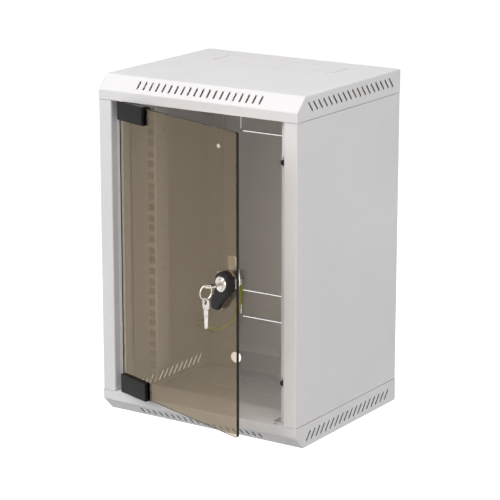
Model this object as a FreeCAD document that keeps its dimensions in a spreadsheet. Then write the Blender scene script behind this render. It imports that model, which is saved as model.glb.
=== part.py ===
import FreeCAD, Part
import math
import os
import re
import Sketcher

# Wall-mounted ten-inch network cabinet, nine units high, with a smoked glass door.
# Origin: centre of the rear face, which lies on the wall. +X right, -Y out of the front, +Z up.
# The lid and the base are one and the same folded tray: the base is the tray turned over.

doc = FreeCAD.newDocument("network_cabinet")
sheet = doc.addObject("Spreadsheet::Sheet", "Sizes")

SIZES = [
    # the whole cabinet
    ("cab_width", 310, "width over the lid"),
    ("cab_depth", 260, "depth over the lid"),
    ("rack_units", 9, "height units between lid and base"),
    ("unit_pitch", 44.45, "one height unit"),
    ("rack_play", 1.95, "spare height over the rack units"),
    ("sheet_thk", 1.2, "thickness of the steel sheet"),
    ("bend_radius", 2, "outer radius of an upright fold"),
    ("fold_radius", 3, "outer radius of the folds across a tray"),
    ("seam_gap", 0.8, "visible joint between a tray and the body"),
    # lid and base trays
    ("tray_height", 31.5, "height of a tray"),
    ("tray_overhang", 0.4, "tray outside the body, each side"),
    ("lip_height", 13, "upright front lip of a tray"),
    ("bevel_run", 19, "depth of the sloping front"),
    ("front_slot_count", 20, "vent slots in the slope"),
    ("front_slot_pitch", 10, "their pitch"),
    ("front_slot_run", 10, "their length, measured along the depth"),
    ("slot_width", 2.8, "width of every vent slot"),
    ("side_slot_count", 18, "slanted vent slots in each side wall"),
    ("side_slot_rise", 12.2, "height that the middle line of a slot covers"),
    ("side_slot_run", 10.2, "depth that it covers"),
    ("side_slot_setback", 30.9, "front face to the middle of the first slot"),
    ("side_slot_rear", 26.5, "rear face to the middle of the last slot"),
    ("side_slot_drop", 14.8, "outer face to the middle of a side slot"),
    ("cable_hole_dia", 16, "cable entry in the rear wall of a tray"),
    ("cable_hole_x", 109, "middle of the cabinet to the cable entry"),
    ("cable_hole_rise", 14.5, "seam to the middle of the cable entry"),
    ("knockout_half", 96, "half the width of the knock-out in a tray"),
    ("knockout_near", 34, "rear face to the near side of that knock-out"),
    ("knockout_far", 80, "rear face to its far side"),
    ("slit_width", 1.3, "width of a knock-out's cut line"),
    ("slit_tab", 3, "uncut bridge that holds a knock-out"),
    ("sill_depth", 56, "flange behind the front lip"),
    ("sill_half", 112, "half the width of that flange"),
    # side panels, each one folded sheet with the front post and the rear flange
    ("post_width", 20.1, "front post, from the outer face to the opening"),
    ("post_return", 14, "depth of the fold into the opening"),
    ("stop_width", 11, "door stop inside the opening"),
    ("rear_flange", 26, "rear flange, from the outer face to its edge"),
    ("rear_lip", 6, "forward lip on the edge of the rear flange"),
    ("foot_thk", 2, "plate welded into each end of a front post"),
    ("stop_slot_width", 4, "slot for a bumper in the door stop"),
    ("stop_slot_height", 14, "height of that slot"),
    ("bumper_inset", 7.2, "edge of the opening to the middle of a bumper"),
    ("bumper_z", 146, "mid height to a bumper"),
    ("bumper_dia", 7.6, "rubber door bumper"),
    ("bumper_height", 5.4, "how far a bumper stands out"),
    ("bumper_round", 3.3, "radius round the end of a bumper"),
    # rear wall
    ("panel_inset", 1, "rear panel inside the outline of the body"),
    ("strip_height", 9, "height of a rear cross strip"),
    ("strip_shift", 3.2, "seam to the middle of a cross strip, towards mid height"),
    ("strip_depth", 5.8, "how far the fold of a cross strip stands in front of the rear panel"),
    ("rear_knock_half", 101, "half the width of a rear knock-out"),
    ("rear_knock_height", 39, "height of a rear knock-out"),
    ("rear_knock_rise", 120, "mid height up to the upper knock-out"),
    ("rear_knock_drop", 112.7, "mid height down to the lower knock-out"),
    ("wall_hole_inset", 17.6, "outer face of the side to a wall fixing hole"),
    ("wall_hole_z", 94, "mid height to a wall fixing hole"),
    ("wall_hole_dia", 7, "wall fixing hole"),
    ("panel_screw_inset", 7.1, "outer face of the side to a rear panel screw"),
    ("panel_screw_z", 182, "mid height to the rear panel screws"),
    # rack rails and the brackets that carry them
    ("rail_setback", 69, "front face to the front of the rails"),
    ("rail_hole_span", 236.525, "distance between the two columns of rack holes"),
    ("rail_hole", 9.5, "side of a square rack hole"),
    ("rail_edge", 7.5, "middle of the rack holes to the inner edge of the rail"),
    ("rail_leg", 28, "depth of the rail"),
    ("rail_thk", 1.5, "thickness of rail and bracket"),
    ("rail_notch", 18, "inner leg of the rail cut away at each end"),
    ("side_hole_dia", 5, "round hole in the side of a rail"),
    ("side_hole_setback", 20, "front of the rail to its side holes"),
    ("hole_first", 6.35, "edge of a height unit to its first rack hole"),
    ("hole_step", 15.875, "rack hole to rack hole within a unit"),
    ("bracket_height", 33, "height of a rail bracket"),
    ("bracket_front", 36, "front face to the bracket"),
    ("bracket_rear", 14, "rear face to the bracket"),
    ("bracket_hole_dia", 6.5, "adjusting hole in a bracket"),
    ("bracket_hole_end", 7, "rear end of the bracket to its last hole"),
    ("bracket_hole_count", 5, "number of those holes"),
    # fasteners
    ("screw_dia", 4, "shank of the small screws"),
    ("screw_play", 0.2, "play around a shank, on the radius"),
    ("head_dia", 7.4, "head of the small screws"),
    ("head_height", 2.2, "height of that head"),
    ("head_room", 1, "free metal beside the head of a tray screw"),
    ("tool_over", 1, "how far a cutting tool runs past the metal"),
    # glass door, drawn closed and then swung open about its pin
    ("door_angle", 19, "how far the door stands open"),
    ("pin_inset", 15, "edge of the opening to the hinge pin"),
    ("pin_setback", 6.3, "front face to the hinge pin"),
    ("pin_dia", 6, "hinge pin"),
    ("pin_play", 0.05, "running play of a pin, on the radius"),
    ("pin_collar_dia", 11, "thrust collar of a pin"),
    ("pin_reach", 3.2, "pin beyond the seam"),
    ("glass_thk", 4, "door pane"),
    ("glass_hinge_gap", 9.5, "edge of the opening to the hinge edge of the closed pane"),
    ("glass_free_gap", 6.2, "edge of the opening to its free edge"),
    ("glass_gap", 3.3, "pane to the seam, above and below"),
    ("glass_corner", 3, "corner radius of the pane"),
    ("clamp_length", 58, "hinge clamp along the pane"),
    ("clamp_height", 25, "height of a hinge clamp"),
    ("clamp_front", 4.3, "thickness of the clamp in front of the pane"),
    ("clamp_rear", 3, "thickness of the clamp behind the pane"),
    ("clamp_rim", 1, "clamp beyond the hinge edge of the pane"),
    ("clamp_gap", 0.6, "hinge clamp to the seam"),
    ("clamp_play", 0.3, "play around the pane's edges in a clamp"),
    ("clamp_round", 3, "radius at the hinge side of the front clamp plate"),
    ("clamp_rear_round", 2.7, "radius at the hinge side of the rear clamp plate"),
    ("clamp_edge", 0.6, "small radius round the face of a clamp"),
    ("glass_hole_dia", 5.6, "clamp screw's hole in the pane"),
    ("clamp_extra", 3, "rear clamp plate longer than the front one"),
    ("clamp_screw_first", 15, "hinge pin to the first clamp screw"),
    ("clamp_screw_step", 24, "first clamp screw to the second"),
    # lock: swing handle with a key cylinder, and a cam behind the pane
    ("lock_inset", 17.5, "free edge of the pane to the lock"),
    ("lock_z", 3.5, "mid height to the lock"),
    ("lock_base_dia", 31, "foot of the lock on the pane"),
    ("lock_base_thk", 3, "its thickness"),
    ("sleeve_dia", 18, "threaded sleeve through the pane"),
    ("sleeve_reach", 6.2, "sleeve behind the pane"),
    ("nut_flats", 22, "lock nut over its flats"),
    ("nut_thk", 4.6, "thickness of the lock nut"),
    ("handle_head_dia", 31, "round head of the handle"),
    ("handle_head_front", 10, "pane to the face of the head"),
    ("handle_length", 37.5, "lock axis down to the end of the handle"),
    ("grip_rear", 4, "pane to the back of the grip"),
    ("grip_step", 0.45, "grip behind the face of the head"),
    ("grip_side", 15, "lock axis to the upright sides of the grip"),
    ("grip_straight", 11, "lock axis down to the end of its side at the free edge"),
    ("grip_neck", 9, "lock axis down to the end of its side towards the hinge"),
    ("grip_hollow", 3, "lock axis to the hollow of the grip, towards the hinge"),
    ("grip_bend", 26, "lock axis down to the hollow and to the widest place"),
    ("grip_wide", 24.5, "lock axis to the widest place of the grip"),
    ("grip_end_near", 11.5, "lock axis to the near corner of the grip's end"),
    ("grip_end_far", 23.5, "lock axis to its far corner"),
    ("grip_side_round", 9, "radius where the side turns towards the end"),
    ("grip_hollow_round", 12, "radius in the hollow"),
    ("grip_end_round", 3.5, "radius at the corners of the end"),
    ("grip_radius", 1.6, "radius along the front edges of the grip"),
    ("head_radius", 1.75, "radius round the face of the head"),
    ("running_gap", 0.3, "gap between parts that turn"),
    ("barrel_dia", 20, "lock cylinder"),
    ("barrel_proud", 2.7, "lock cylinder in front of the head"),
    ("barrel_seat", 6, "pane to the shoulder of the lock cylinder"),
    ("shaft_dia", 12, "shaft through the pane"),
    ("plug_dia", 13, "bore for the key plug"),
    ("plug_floor", 1.2, "shoulder of the lock cylinder to the end of that bore"),
    ("tip_bore_dia", 8.6, "bore in the shaft for the tip of the key"),
    ("tip_bore_end", 6.5, "front of the pane inwards to the end of that bore"),
    ("plug_proud", 0.6, "key plug in front of the lock cylinder"),
    ("cam_angle", 10, "cam from straight up towards the hinge"),
    ("cam_width", 17, "cam plate"),
    ("cam_reach", 33, "lock axis to the tip of the cam"),
    ("cam_thk", 2, "thickness of the cam"),
    ("cam_setback", 7.4, "back of the pane to the cam"),
    ("cam_seat_dia", 8, "end of the shaft inside the cam"),
    ("cam_tail_radius", 8, "corner radius at the shaft end of the cam"),
    ("cam_tip_radius", 4, "corner radius at the tip of the cam"),
    # keys on a ring
    ("key_thk", 2, "key blank"),
    ("key_bow_length", 16, "bow of a key, along the key"),
    ("key_bow_width", 12, "bow of a key, across it"),
    ("key_bow_round", 5, "corner radius of the bow"),
    ("key_length", 40, "key over all"),
    ("key_blade", 7.6, "width of a key's blade at the bow"),
    ("key_tip", 4.6, "its width at the tip"),
    ("key_tip_round", 1.8, "corner radius of the tip"),
    ("key_in", 17.6, "blade inside the lock cylinder"),
    ("key_hole_dia", 7.4, "hole in the bow"),
    ("key_rim", 1.1, "hole to the end of the bow"),
    ("ring_dia", 18.2, "key ring, middle of the wire"),
    ("ring_wire", 1.3, "wire of the key ring"),
    ("ring_play", 0.35, "free space of the ring on a key"),
    # earth bonding
    ("stud_dia", 5, "earth stud"),
    ("stud_reach", 9.5, "how far an earth stud stands out"),
    ("stud_base_thk", 3, "nut between the sheet and the cable lug"),
    ("stud_nut_flats", 8, "nut of an earth stud"),
    ("stud_nut_thk", 3.6, "thickness of the nut over the lug"),
    ("panel_stud_x", 96, "middle of the cabinet to the rear panel's earth stud"),
    ("panel_stud_z", 86, "mid height down to the rear panel's earth stud"),
    ("wall_stud_setback", 32, "rear face to the side panel's earth stud"),
    ("wall_stud_z", 160, "mid height down to the side panel's earth stud"),
    ("lug_dia", 10, "ring of a cable lug"),
    ("lug_thk", 0.8, "its thickness"),
    ("lug_tongue", 9, "stud to the root of the lug's barrel"),
    ("lug_reach", 17, "stud to the mouth of the lug's barrel"),
    ("lug_barrel_dia", 5.8, "barrel of a lug"),
    ("lug_bend", 75, "the side lug's barrel is bent off the panel"),
    ("lug_turn", 82, "the side lug is turned towards the front"),
    ("wire_dia", 4, "earth wire over its insulation"),
]

ALIASES = set()
for row, (alias, number, words) in enumerate(SIZES, start=1):
    sheet.set(f"A{row}", words)
    sheet.set(f"B{row}", str(number))
    sheet.setAlias(f"B{row}", alias)
    ALIASES.add(alias)
doc.recompute()


def on_sheet(text):
    """An expression with the sheet's name put before every alias in it."""
    return re.sub(r"[a-z_]+", lambda word: f"Sizes.{word[0]}" if word[0] in ALIASES else word[0], text)


def value(text):
    """The number that an expression on the sheet gives now."""
    return float(sheet.evalExpression(text))


def bind(obj, prop, text):
    """Ties one property to an expression on the sheet."""
    obj.setExpression(prop, on_sheet(text))


# Places that several pieces share, as expressions on the sheet
BODY_HALF = "(rack_units * unit_pitch + rack_play) / 2"
WALL_OUT = "(cab_width / 2 - tray_overhang)"
WALL_IN = f"({WALL_OUT} - sheet_thk)"
OPENING = f"({WALL_OUT} - post_width)"
STOP_IN = f"({OPENING} - stop_width)"
REAR_IN = f"({WALL_OUT} - rear_flange)"
POST_FRONT = "(tray_overhang - cab_depth)"
FLANGE_IN = "(-2 * sheet_thk)"
RAIL_FRONT = "(rail_setback - cab_depth)"
RAIL_INNER = "(rail_hole_span / 2 - rail_edge)"
RAIL_OUTER = f"({WALL_IN} - rail_thk)"
STOP_FRONT = "(post_return - cab_depth)"
GLASS_TOP = f"({BODY_HALF} - glass_gap)"
CLAMP_TOP = f"({BODY_HALF} - clamp_gap)"
CLAMP_LOW = f"({CLAMP_TOP} - clamp_height)"
PIN_X = f"({OPENING} - pin_inset)"
PANE_START = "(glass_hinge_gap - pin_inset)"
PANE_END = f"(2 * {OPENING} - pin_inset - glass_free_gap)"
LOCK_X = f"({PANE_END} - lock_inset)"
BUMPER_X = f"({OPENING} - bumper_inset)"
WALL_HOLE_X = f"({WALL_OUT} - wall_hole_inset)"
PANEL_SCREW_X = f"({WALL_OUT} - panel_screw_inset)"
SCREW_BORE = "screw_dia + 2 * screw_play"
FOOT_SCREW_X = f"(({OPENING} + sheet_thk + {WALL_IN}) / 2)"
FOOT_SCREW_Y = f"({POST_FRONT} + sheet_thk + head_dia / 2 + head_room)"
RAIL_SCREW_Y = f"({RAIL_FRONT} + side_hole_setback)"
RAIL_SCREW_Z = f"({BODY_HALF} - seam_gap - bracket_height / 2)"

NODES = []


def node(obj, name):
    """Names a finished piece and puts it on the list that is written out."""
    obj.Label = name
    NODES.append(obj)
    return obj


def frame_at(name, x, y, z, axis=(0, 0, 1), angle="0", parent=None):
    """A local frame: a point and a turn about one axis, on another frame or on the cabinet's own."""
    frame = doc.addObject("PartDesign::CoordinateSystem", name)
    point = f"create(<<vector>>; {x}; {y}; {z})"
    turn = f"create(<<rotation>>; create(<<vector>>; {axis[0]}; {axis[1]}; {axis[2]}); {angle})"
    here = on_sheet(f"create(<<placement>>; {point}; {turn})")
    frame.setExpression("Placement", f"{parent.Name}.Placement * {here}" if parent else here)
    return frame


def place(obj, frame):
    """Puts a finished piece, drawn in a local frame, where that frame is."""
    obj.setExpression("Placement", f"{frame.Name}.Placement")
    return obj


def block(name, x, y, z):
    """A box from its low and high sides along X, Y and Z."""
    box = doc.addObject("Part::Box", name)
    for side, axis, (low, high) in zip(("Length", "Width", "Height"), "xyz", (x, y, z)):
        bind(box, side, f"({high}) - ({low})")
        bind(box, f"Placement.Base.{axis}", low)
    return box


AXIS_TURN = {
    "x": FreeCAD.Rotation(FreeCAD.Vector(0, 1, 0), 90),
    "y": FreeCAD.Rotation(FreeCAD.Vector(1, 0, 0), -90),
    "z": FreeCAD.Rotation(),
}


def rod(name, axis, dia, ends, across):
    """A cylinder along an axis, from one end to the other; across gives its other two coordinates."""
    cylinder = doc.addObject("Part::Cylinder", name)
    cylinder.Placement.Rotation = AXIS_TURN[axis]
    bind(cylinder, "Radius", f"({dia}) / 2")
    bind(cylinder, "Height", f"({ends[1]}) - ({ends[0]})")
    bind(cylinder, f"Placement.Base.{axis}", ends[0])
    for other, place_text in zip("xyz".replace(axis, ""), across):
        bind(cylinder, f"Placement.Base.{other}", place_text)
    return cylinder


def join(name, *pieces):
    """Several solids made one."""
    union = doc.addObject("Part::MultiFuse", name)
    union.Shapes = list(pieces)
    union.Refine = True
    return union


def group(name, *pieces):
    """Several solids kept apart under one name."""
    compound = doc.addObject("Part::Compound", name)
    compound.Links = list(pieces)
    return compound


def cut(name, base, *tools):
    """A solid with the tools taken out of it."""
    tool = tools[0] if len(tools) == 1 else group(f"{name}_tools", *tools)
    result = doc.addObject("Part::Cut", name)
    result.Base = base
    result.Tool = tool
    return result


def mirror(name, source, normal):
    """The mirror image of a piece across the plane through the origin with this normal."""
    image = doc.addObject("Part::Mirroring", name)
    image.Source = source
    image.Normal = FreeCAD.Vector(*normal)
    return image


def origin_part(body, role):
    """One of a body's own origin planes or axes."""
    return next(item for item in body.Origin.OriginFeatures if item.Role == role)


def new_sketch(body, name, plane, offset="0"):
    """An empty sketch on one of the body's origin planes, moved along the plane's normal."""
    sketch = body.newObject("Sketcher::SketchObject", name)
    sketch.AttachmentSupport = (origin_part(body, plane), [""])
    sketch.MapMode = "FlatFace"
    bind(sketch, "AttachmentOffset.Base.z", offset)
    return sketch


def pin_point(sketch, edge, x, y):
    """Ties the start of an edge to two expressions, measured from the sketch's origin."""
    for kind, text in (("DistanceX", x), ("DistanceY", y)):
        index = sketch.addConstraint(Sketcher.Constraint(kind, -1, 1, edge, 1, value(text)))
        bind(sketch, f"Constraints[{index}]", text)


def outline(sketch, corners):
    """A closed outline of straight lines, whose corners are pairs of expressions."""
    points = [FreeCAD.Vector(value(x), value(y), 0) for x, y in corners]
    first = sketch.GeometryCount
    for number, start in enumerate(points):
        sketch.addGeometry(Part.LineSegment(start, points[(number + 1) % len(points)]))
    for number, (x, y) in enumerate(corners):
        following = first + (number + 1) % len(points)
        sketch.addConstraint(Sketcher.Constraint("Coincident", first + number, 2, following, 1))
        pin_point(sketch, first + number, x, y)


def rectangle(sketch, x, y):
    """A rectangle from its low and high sides."""
    outline(sketch, [(x[0], y[0]), (x[1], y[0]), (x[1], y[1]), (x[0], y[1])])


def circle(sketch, x, y, dia):
    """A circle from its middle and its diameter."""
    middle = FreeCAD.Vector(value(x), value(y), 0)
    edge = sketch.addGeometry(Part.Circle(middle, FreeCAD.Vector(0, 0, 1), value(dia) / 2))
    for kind, text in (("DistanceX", x), ("DistanceY", y)):
        index = sketch.addConstraint(Sketcher.Constraint(kind, -1, 1, edge, 3, value(text)))
        bind(sketch, f"Constraints[{index}]", text)
    index = sketch.addConstraint(Sketcher.Constraint("Diameter", edge, value(dia)))
    bind(sketch, f"Constraints[{index}]", dia)


def pad(body, sketch, length, symmetric=False, reverse=False):
    """Gives a sketch its thickness."""
    feature = body.newObject("PartDesign::Pad", f"{sketch.Name}_pad")
    feature.Profile = sketch
    feature.Midplane = symmetric
    feature.Reversed = reverse
    bind(feature, "Length", length)
    doc.recompute()
    return feature


def pocket(body, sketch, length, symmetric=False, reverse=False):
    """Cuts a sketch out of the body to a depth, and makes sure that it met some metal."""
    before = body.Shape.Volume
    feature = body.newObject("PartDesign::Pocket", f"{sketch.Name}_pocket")
    feature.Profile = sketch
    feature.Midplane = symmetric
    feature.Reversed = reverse
    bind(feature, "Length", length)
    doc.recompute()
    if body.Shape.Volume >= before:
        raise RuntimeError(f"{feature.Name} cuts nothing")
    return feature


def pattern(body, feature, axis, pitch, count):
    """Repeats a feature along one of the body's axes."""
    row_of = body.newObject("PartDesign::LinearPattern", f"{feature.Name}_row")
    row_of.Originals = [feature]
    row_of.Direction = (origin_part(body, axis), [""])
    bind(row_of, "Length", f"{pitch} * ({count} - 1)")
    bind(row_of, "Occurrences", count)
    body.Tip = row_of
    doc.recompute()
    return row_of


def rounded(body, radius, chosen):
    """Rounds the edges of the body's last feature for which chosen(edge) holds."""
    base = body.Tip
    names = [f"Edge{i}" for i, edge in enumerate(base.Shape.Edges, start=1) if chosen(edge)]
    fillet = body.newObject("PartDesign::Fillet", f"{base.Name}_round")
    fillet.Base = (base, names)
    bind(fillet, "Radius", radius)
    doc.recompute()
    return fillet


def runs_along(edge, axis):
    """True for a straight edge along x, y or z."""
    if edge.Curve.TypeId != "Part::GeomLine":
        return False
    return abs(getattr(edge.Curve.Direction, axis)) > 0.999


def stands_at(edge, *corners, axis="z"):
    """True for an edge along an axis through one of the corners, given in the other two coordinates."""
    if not runs_along(edge, axis):
        return False
    foot = [getattr(edge.CenterOfMass, other) for other in "xyz".replace(axis, "")]
    return any(math.dist(foot, (value(first), value(second))) < 0.01 for first, second in corners)


def make_tray(name):
    """The folded tray, open side down at z = 0: lip, slope, top, walls, sill flange and vents."""
    body = doc.addObject("PartDesign::Body", name)
    profile = new_sketch(body, f"{name}_profile", "YZ_Plane")
    outline(profile, [
        ("-cab_depth", "0"),
        ("-cab_depth", "lip_height"),
        ("bevel_run - cab_depth", "tray_height"),
        ("0", "tray_height"),
        ("0", "0"),
    ])
    pad(body, profile, "cab_width", symmetric=True)
    rounded(body, "fold_radius", lambda edge: runs_along(edge, "x") and edge.CenterOfMass.z > 0.01)
    rounded(body, "bend_radius", lambda edge: edge.CenterOfMass.z > 0.01
            and abs(edge.CenterOfMass.x) > value("cab_width / 2") - 0.01)

    solid = body.Tip
    open_face = next(f"Face{i}" for i, face in enumerate(solid.Shape.Faces, start=1)
                     if abs(face.CenterOfMass.z) < 0.01)
    shell = body.newObject("PartDesign::Thickness", f"{name}_shell")
    shell.Base = (solid, [open_face])
    shell.Reversed = True
    bind(shell, "Value", "sheet_thk")
    doc.recompute()

    sill = new_sketch(body, f"{name}_sill", "XY_Plane")
    wide = "cab_width / 2 - sheet_thk / 2"
    outline(sill, [
        (f"-({wide})", "sheet_thk / 2 - cab_depth"),
        (wide, "sheet_thk / 2 - cab_depth"),
        (wide, STOP_FRONT),
        ("sill_half", STOP_FRONT),
        ("sill_half", "sill_depth - cab_depth"),
        ("-sill_half", "sill_depth - cab_depth"),
        ("-sill_half", STOP_FRONT),
        (f"-({wide})", STOP_FRONT),
    ])
    pad(body, sill, "sheet_thk")

    first_slot = "front_slot_pitch * (front_slot_count - 1) / 2"
    slot_middle = "bevel_run / 2 - cab_depth"
    vent = new_sketch(body, f"{name}_front_vent", "XY_Plane", "lip_height / 2")
    rectangle(vent,
              (f"-{first_slot} - slot_width / 2", f"-{first_slot} + slot_width / 2"),
              (f"{slot_middle} - front_slot_run / 2", f"{slot_middle} + front_slot_run / 2"))
    vent_cut = pocket(body, vent, "tray_height", reverse=True)
    pattern(body, vent_cut, "X_Axis", "front_slot_pitch", "front_slot_count")

    slot = new_sketch(body, f"{name}_side_vent", "YZ_Plane")
    slot_y = "side_slot_setback - cab_depth"
    slot_z = "tray_height - side_slot_drop"
    long = "(side_slot_run ^ 2 + side_slot_rise ^ 2) ^ 0.5"
    wide_y = f"slot_width * side_slot_rise / {long}"
    wide_z = f"slot_width * side_slot_run / {long}"
    outline(slot, [
        (f"{slot_y} - (side_slot_run + {wide_y}) / 2", f"{slot_z} + (side_slot_rise - {wide_z}) / 2"),
        (f"{slot_y} - (side_slot_run - {wide_y}) / 2", f"{slot_z} + (side_slot_rise + {wide_z}) / 2"),
        (f"{slot_y} + (side_slot_run + {wide_y}) / 2", f"{slot_z} - (side_slot_rise - {wide_z}) / 2"),
        (f"{slot_y} + (side_slot_run - {wide_y}) / 2", f"{slot_z} - (side_slot_rise + {wide_z}) / 2"),
    ])
    slot_cut = pocket(body, slot, "cab_width + slot_width", symmetric=True)
    slot_pitch = "(cab_depth - side_slot_setback - side_slot_rear) / (side_slot_count - 1)"
    pattern(body, slot_cut, "Y_Axis", slot_pitch, "side_slot_count")

    entry = new_sketch(body, f"{name}_cable_entry", "XZ_Plane")
    circle(entry, "cable_hole_x", "cable_hole_rise", "cable_hole_dia")
    pocket(body, entry, "2 * sheet_thk", symmetric=True)

    hinge = new_sketch(body, f"{name}_hinge_bores", "XY_Plane")
    for side in ("-", ""):
        circle(hinge, f"{side}{PIN_X}", "pin_setback - cab_depth", "pin_dia + 2 * pin_play")
        circle(hinge, f"{side}{FOOT_SCREW_X}", FOOT_SCREW_Y, SCREW_BORE)
    pocket(body, hinge, "sheet_thk * 4", symmetric=True)

    slits = new_sketch(body, f"{name}_knock_out", "XY_Plane", "tray_height")
    knock_out(slits, "knockout_half", "-knockout_far", "-knockout_near")
    pocket(body, slits, "2 * sheet_thk", symmetric=True)
    return body


def knock_out(sketch, half, low, high):
    """The cut line round a knock-out: two broken long sides and two short sides, with bridges."""
    for level in (low, high):
        for side in (("slit_tab / 2", f"{half} - slit_tab"), (f"slit_tab - {half}", "-slit_tab / 2")):
            rectangle(sketch, side, (f"{level} - slit_width / 2", f"{level} + slit_width / 2"))
    for edge in (f"-{half}", half):
        rectangle(sketch, (f"{edge} - slit_width / 2", f"{edge} + slit_width / 2"),
                  (f"{low} + slit_tab", f"{high} - slit_tab"))


def make_side_panel(name):
    """The right side panel, with its front post, door stop and rear flange folded in one."""
    body = doc.addObject("PartDesign::Body", f"{name}_sheet")
    profile = new_sketch(body, f"{name}_profile", "XY_Plane")
    return_in = f"({OPENING} + sheet_thk)"
    stop_rear = f"({STOP_FRONT} + sheet_thk)"
    outline(profile, [
        (STOP_IN, STOP_FRONT),
        (OPENING, STOP_FRONT),
        (OPENING, POST_FRONT),
        (WALL_OUT, POST_FRONT),
        (WALL_OUT, "-sheet_thk"),
        (REAR_IN, "-sheet_thk"),
        (REAR_IN, "-sheet_thk - rear_lip"),
        (f"{REAR_IN} + sheet_thk", "-sheet_thk - rear_lip"),
        (f"{REAR_IN} + sheet_thk", FLANGE_IN),
        (WALL_IN, FLANGE_IN),
        (WALL_IN, f"{POST_FRONT} + sheet_thk"),
        (return_in, f"{POST_FRONT} + sheet_thk"),
        (return_in, stop_rear),
        (STOP_IN, stop_rear),
    ])
    pad(body, profile, f"2 * ({BODY_HALF} - seam_gap)", symmetric=True)
    rounded(body, "bend_radius", lambda edge: stands_at(
        edge, (OPENING, POST_FRONT), (WALL_OUT, POST_FRONT), (WALL_OUT, "-sheet_thk"),
        (REAR_IN, "-sheet_thk"), (return_in, stop_rear)))
    rounded(body, "bend_radius - sheet_thk", lambda edge: stands_at(
        edge, (return_in, f"{POST_FRONT} + sheet_thk"), (WALL_IN, f"{POST_FRONT} + sheet_thk"),
        (WALL_IN, FLANGE_IN), (f"{REAR_IN} + sheet_thk", FLANGE_IN), (OPENING, STOP_FRONT)))

    foot_sides = ((return_in, WALL_IN), (f"{POST_FRONT} + sheet_thk", stop_rear))
    upper_foot = block(f"{name}_upper_foot", *foot_sides, (f"{BODY_HALF} - foot_thk", BODY_HALF))
    lower_foot = mirror(f"{name}_lower_foot", upper_foot, (0, 0, 1))
    whole = join(f"{name}_welded", body, upper_foot, lower_foot)

    tools = []
    for level in ("-wall_hole_z", "wall_hole_z"):
        tools.append(rod(f"{name}_fixing", "y", "wall_hole_dia", ("-3 * sheet_thk", "0"),
                         (WALL_HOLE_X, level)))
    for level in ("-panel_screw_z", "0", "panel_screw_z"):
        tools.append(rod(f"{name}_panel_screw", "y", SCREW_BORE, ("-3 * sheet_thk", "0"),
                         (PANEL_SCREW_X, level)))
    for level in ("-bumper_z", "bumper_z"):
        tools.append(block(f"{name}_stop_slot",
                           (f"{BUMPER_X} - stop_slot_width / 2", f"{BUMPER_X} + stop_slot_width / 2"),
                           (f"{STOP_FRONT} - sheet_thk", f"{stop_rear} + sheet_thk"),
                           (f"{level} - stop_slot_height / 2", f"{level} + stop_slot_height / 2")))
    tools.append(rod(f"{name}_foot_screw", "z", SCREW_BORE,
                     (f"-{BODY_HALF} - tool_over", f"{BODY_HALF} + tool_over"), (FOOT_SCREW_X, FOOT_SCREW_Y)))
    return cut(name, whole, *tools)


def make_rear_panel(name):
    """The flat rear panel with its two knock-outs, its wall fixings and its screws."""
    body = doc.addObject("PartDesign::Body", name)
    plate = new_sketch(body, f"{name}_outline", "XZ_Plane")
    half_wide = f"({WALL_OUT} - panel_inset)"
    half_high = f"({BODY_HALF} - seam_gap)"
    rectangle(plate, (f"-{half_wide}", half_wide), (f"-{half_high}", half_high))
    pad(body, plate, "sheet_thk")
    slits = new_sketch(body, f"{name}_slits", "XZ_Plane")
    knock_out(slits, "rear_knock_half", "rear_knock_rise", "(rear_knock_rise + rear_knock_height)")
    knock_out(slits, "rear_knock_half", "-(rear_knock_drop + rear_knock_height)", "-rear_knock_drop")
    pocket(body, slits, "3 * sheet_thk", symmetric=True)
    holes = new_sketch(body, f"{name}_holes", "XZ_Plane")
    for side in ("-", ""):
        for level in ("-wall_hole_z", "wall_hole_z"):
            circle(holes, f"{side}{WALL_HOLE_X}", level, "wall_hole_dia")
        for level in ("-panel_screw_z", "panel_screw_z"):
            circle(holes, f"{side}{PANEL_SCREW_X}", level, "screw_dia")
    pocket(body, holes, "3 * sheet_thk", symmetric=True)
    return body


def rack_hole_levels():
    """Heights of the rack holes: three to a unit, from the bottom of the lowest unit."""
    levels = []
    for unit in range(int(value("rack_units"))):
        for step in range(3):
            levels.append(f"(({unit} - rack_units / 2) * unit_pitch + hole_first + {step} * hole_step)")
    return levels


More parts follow.
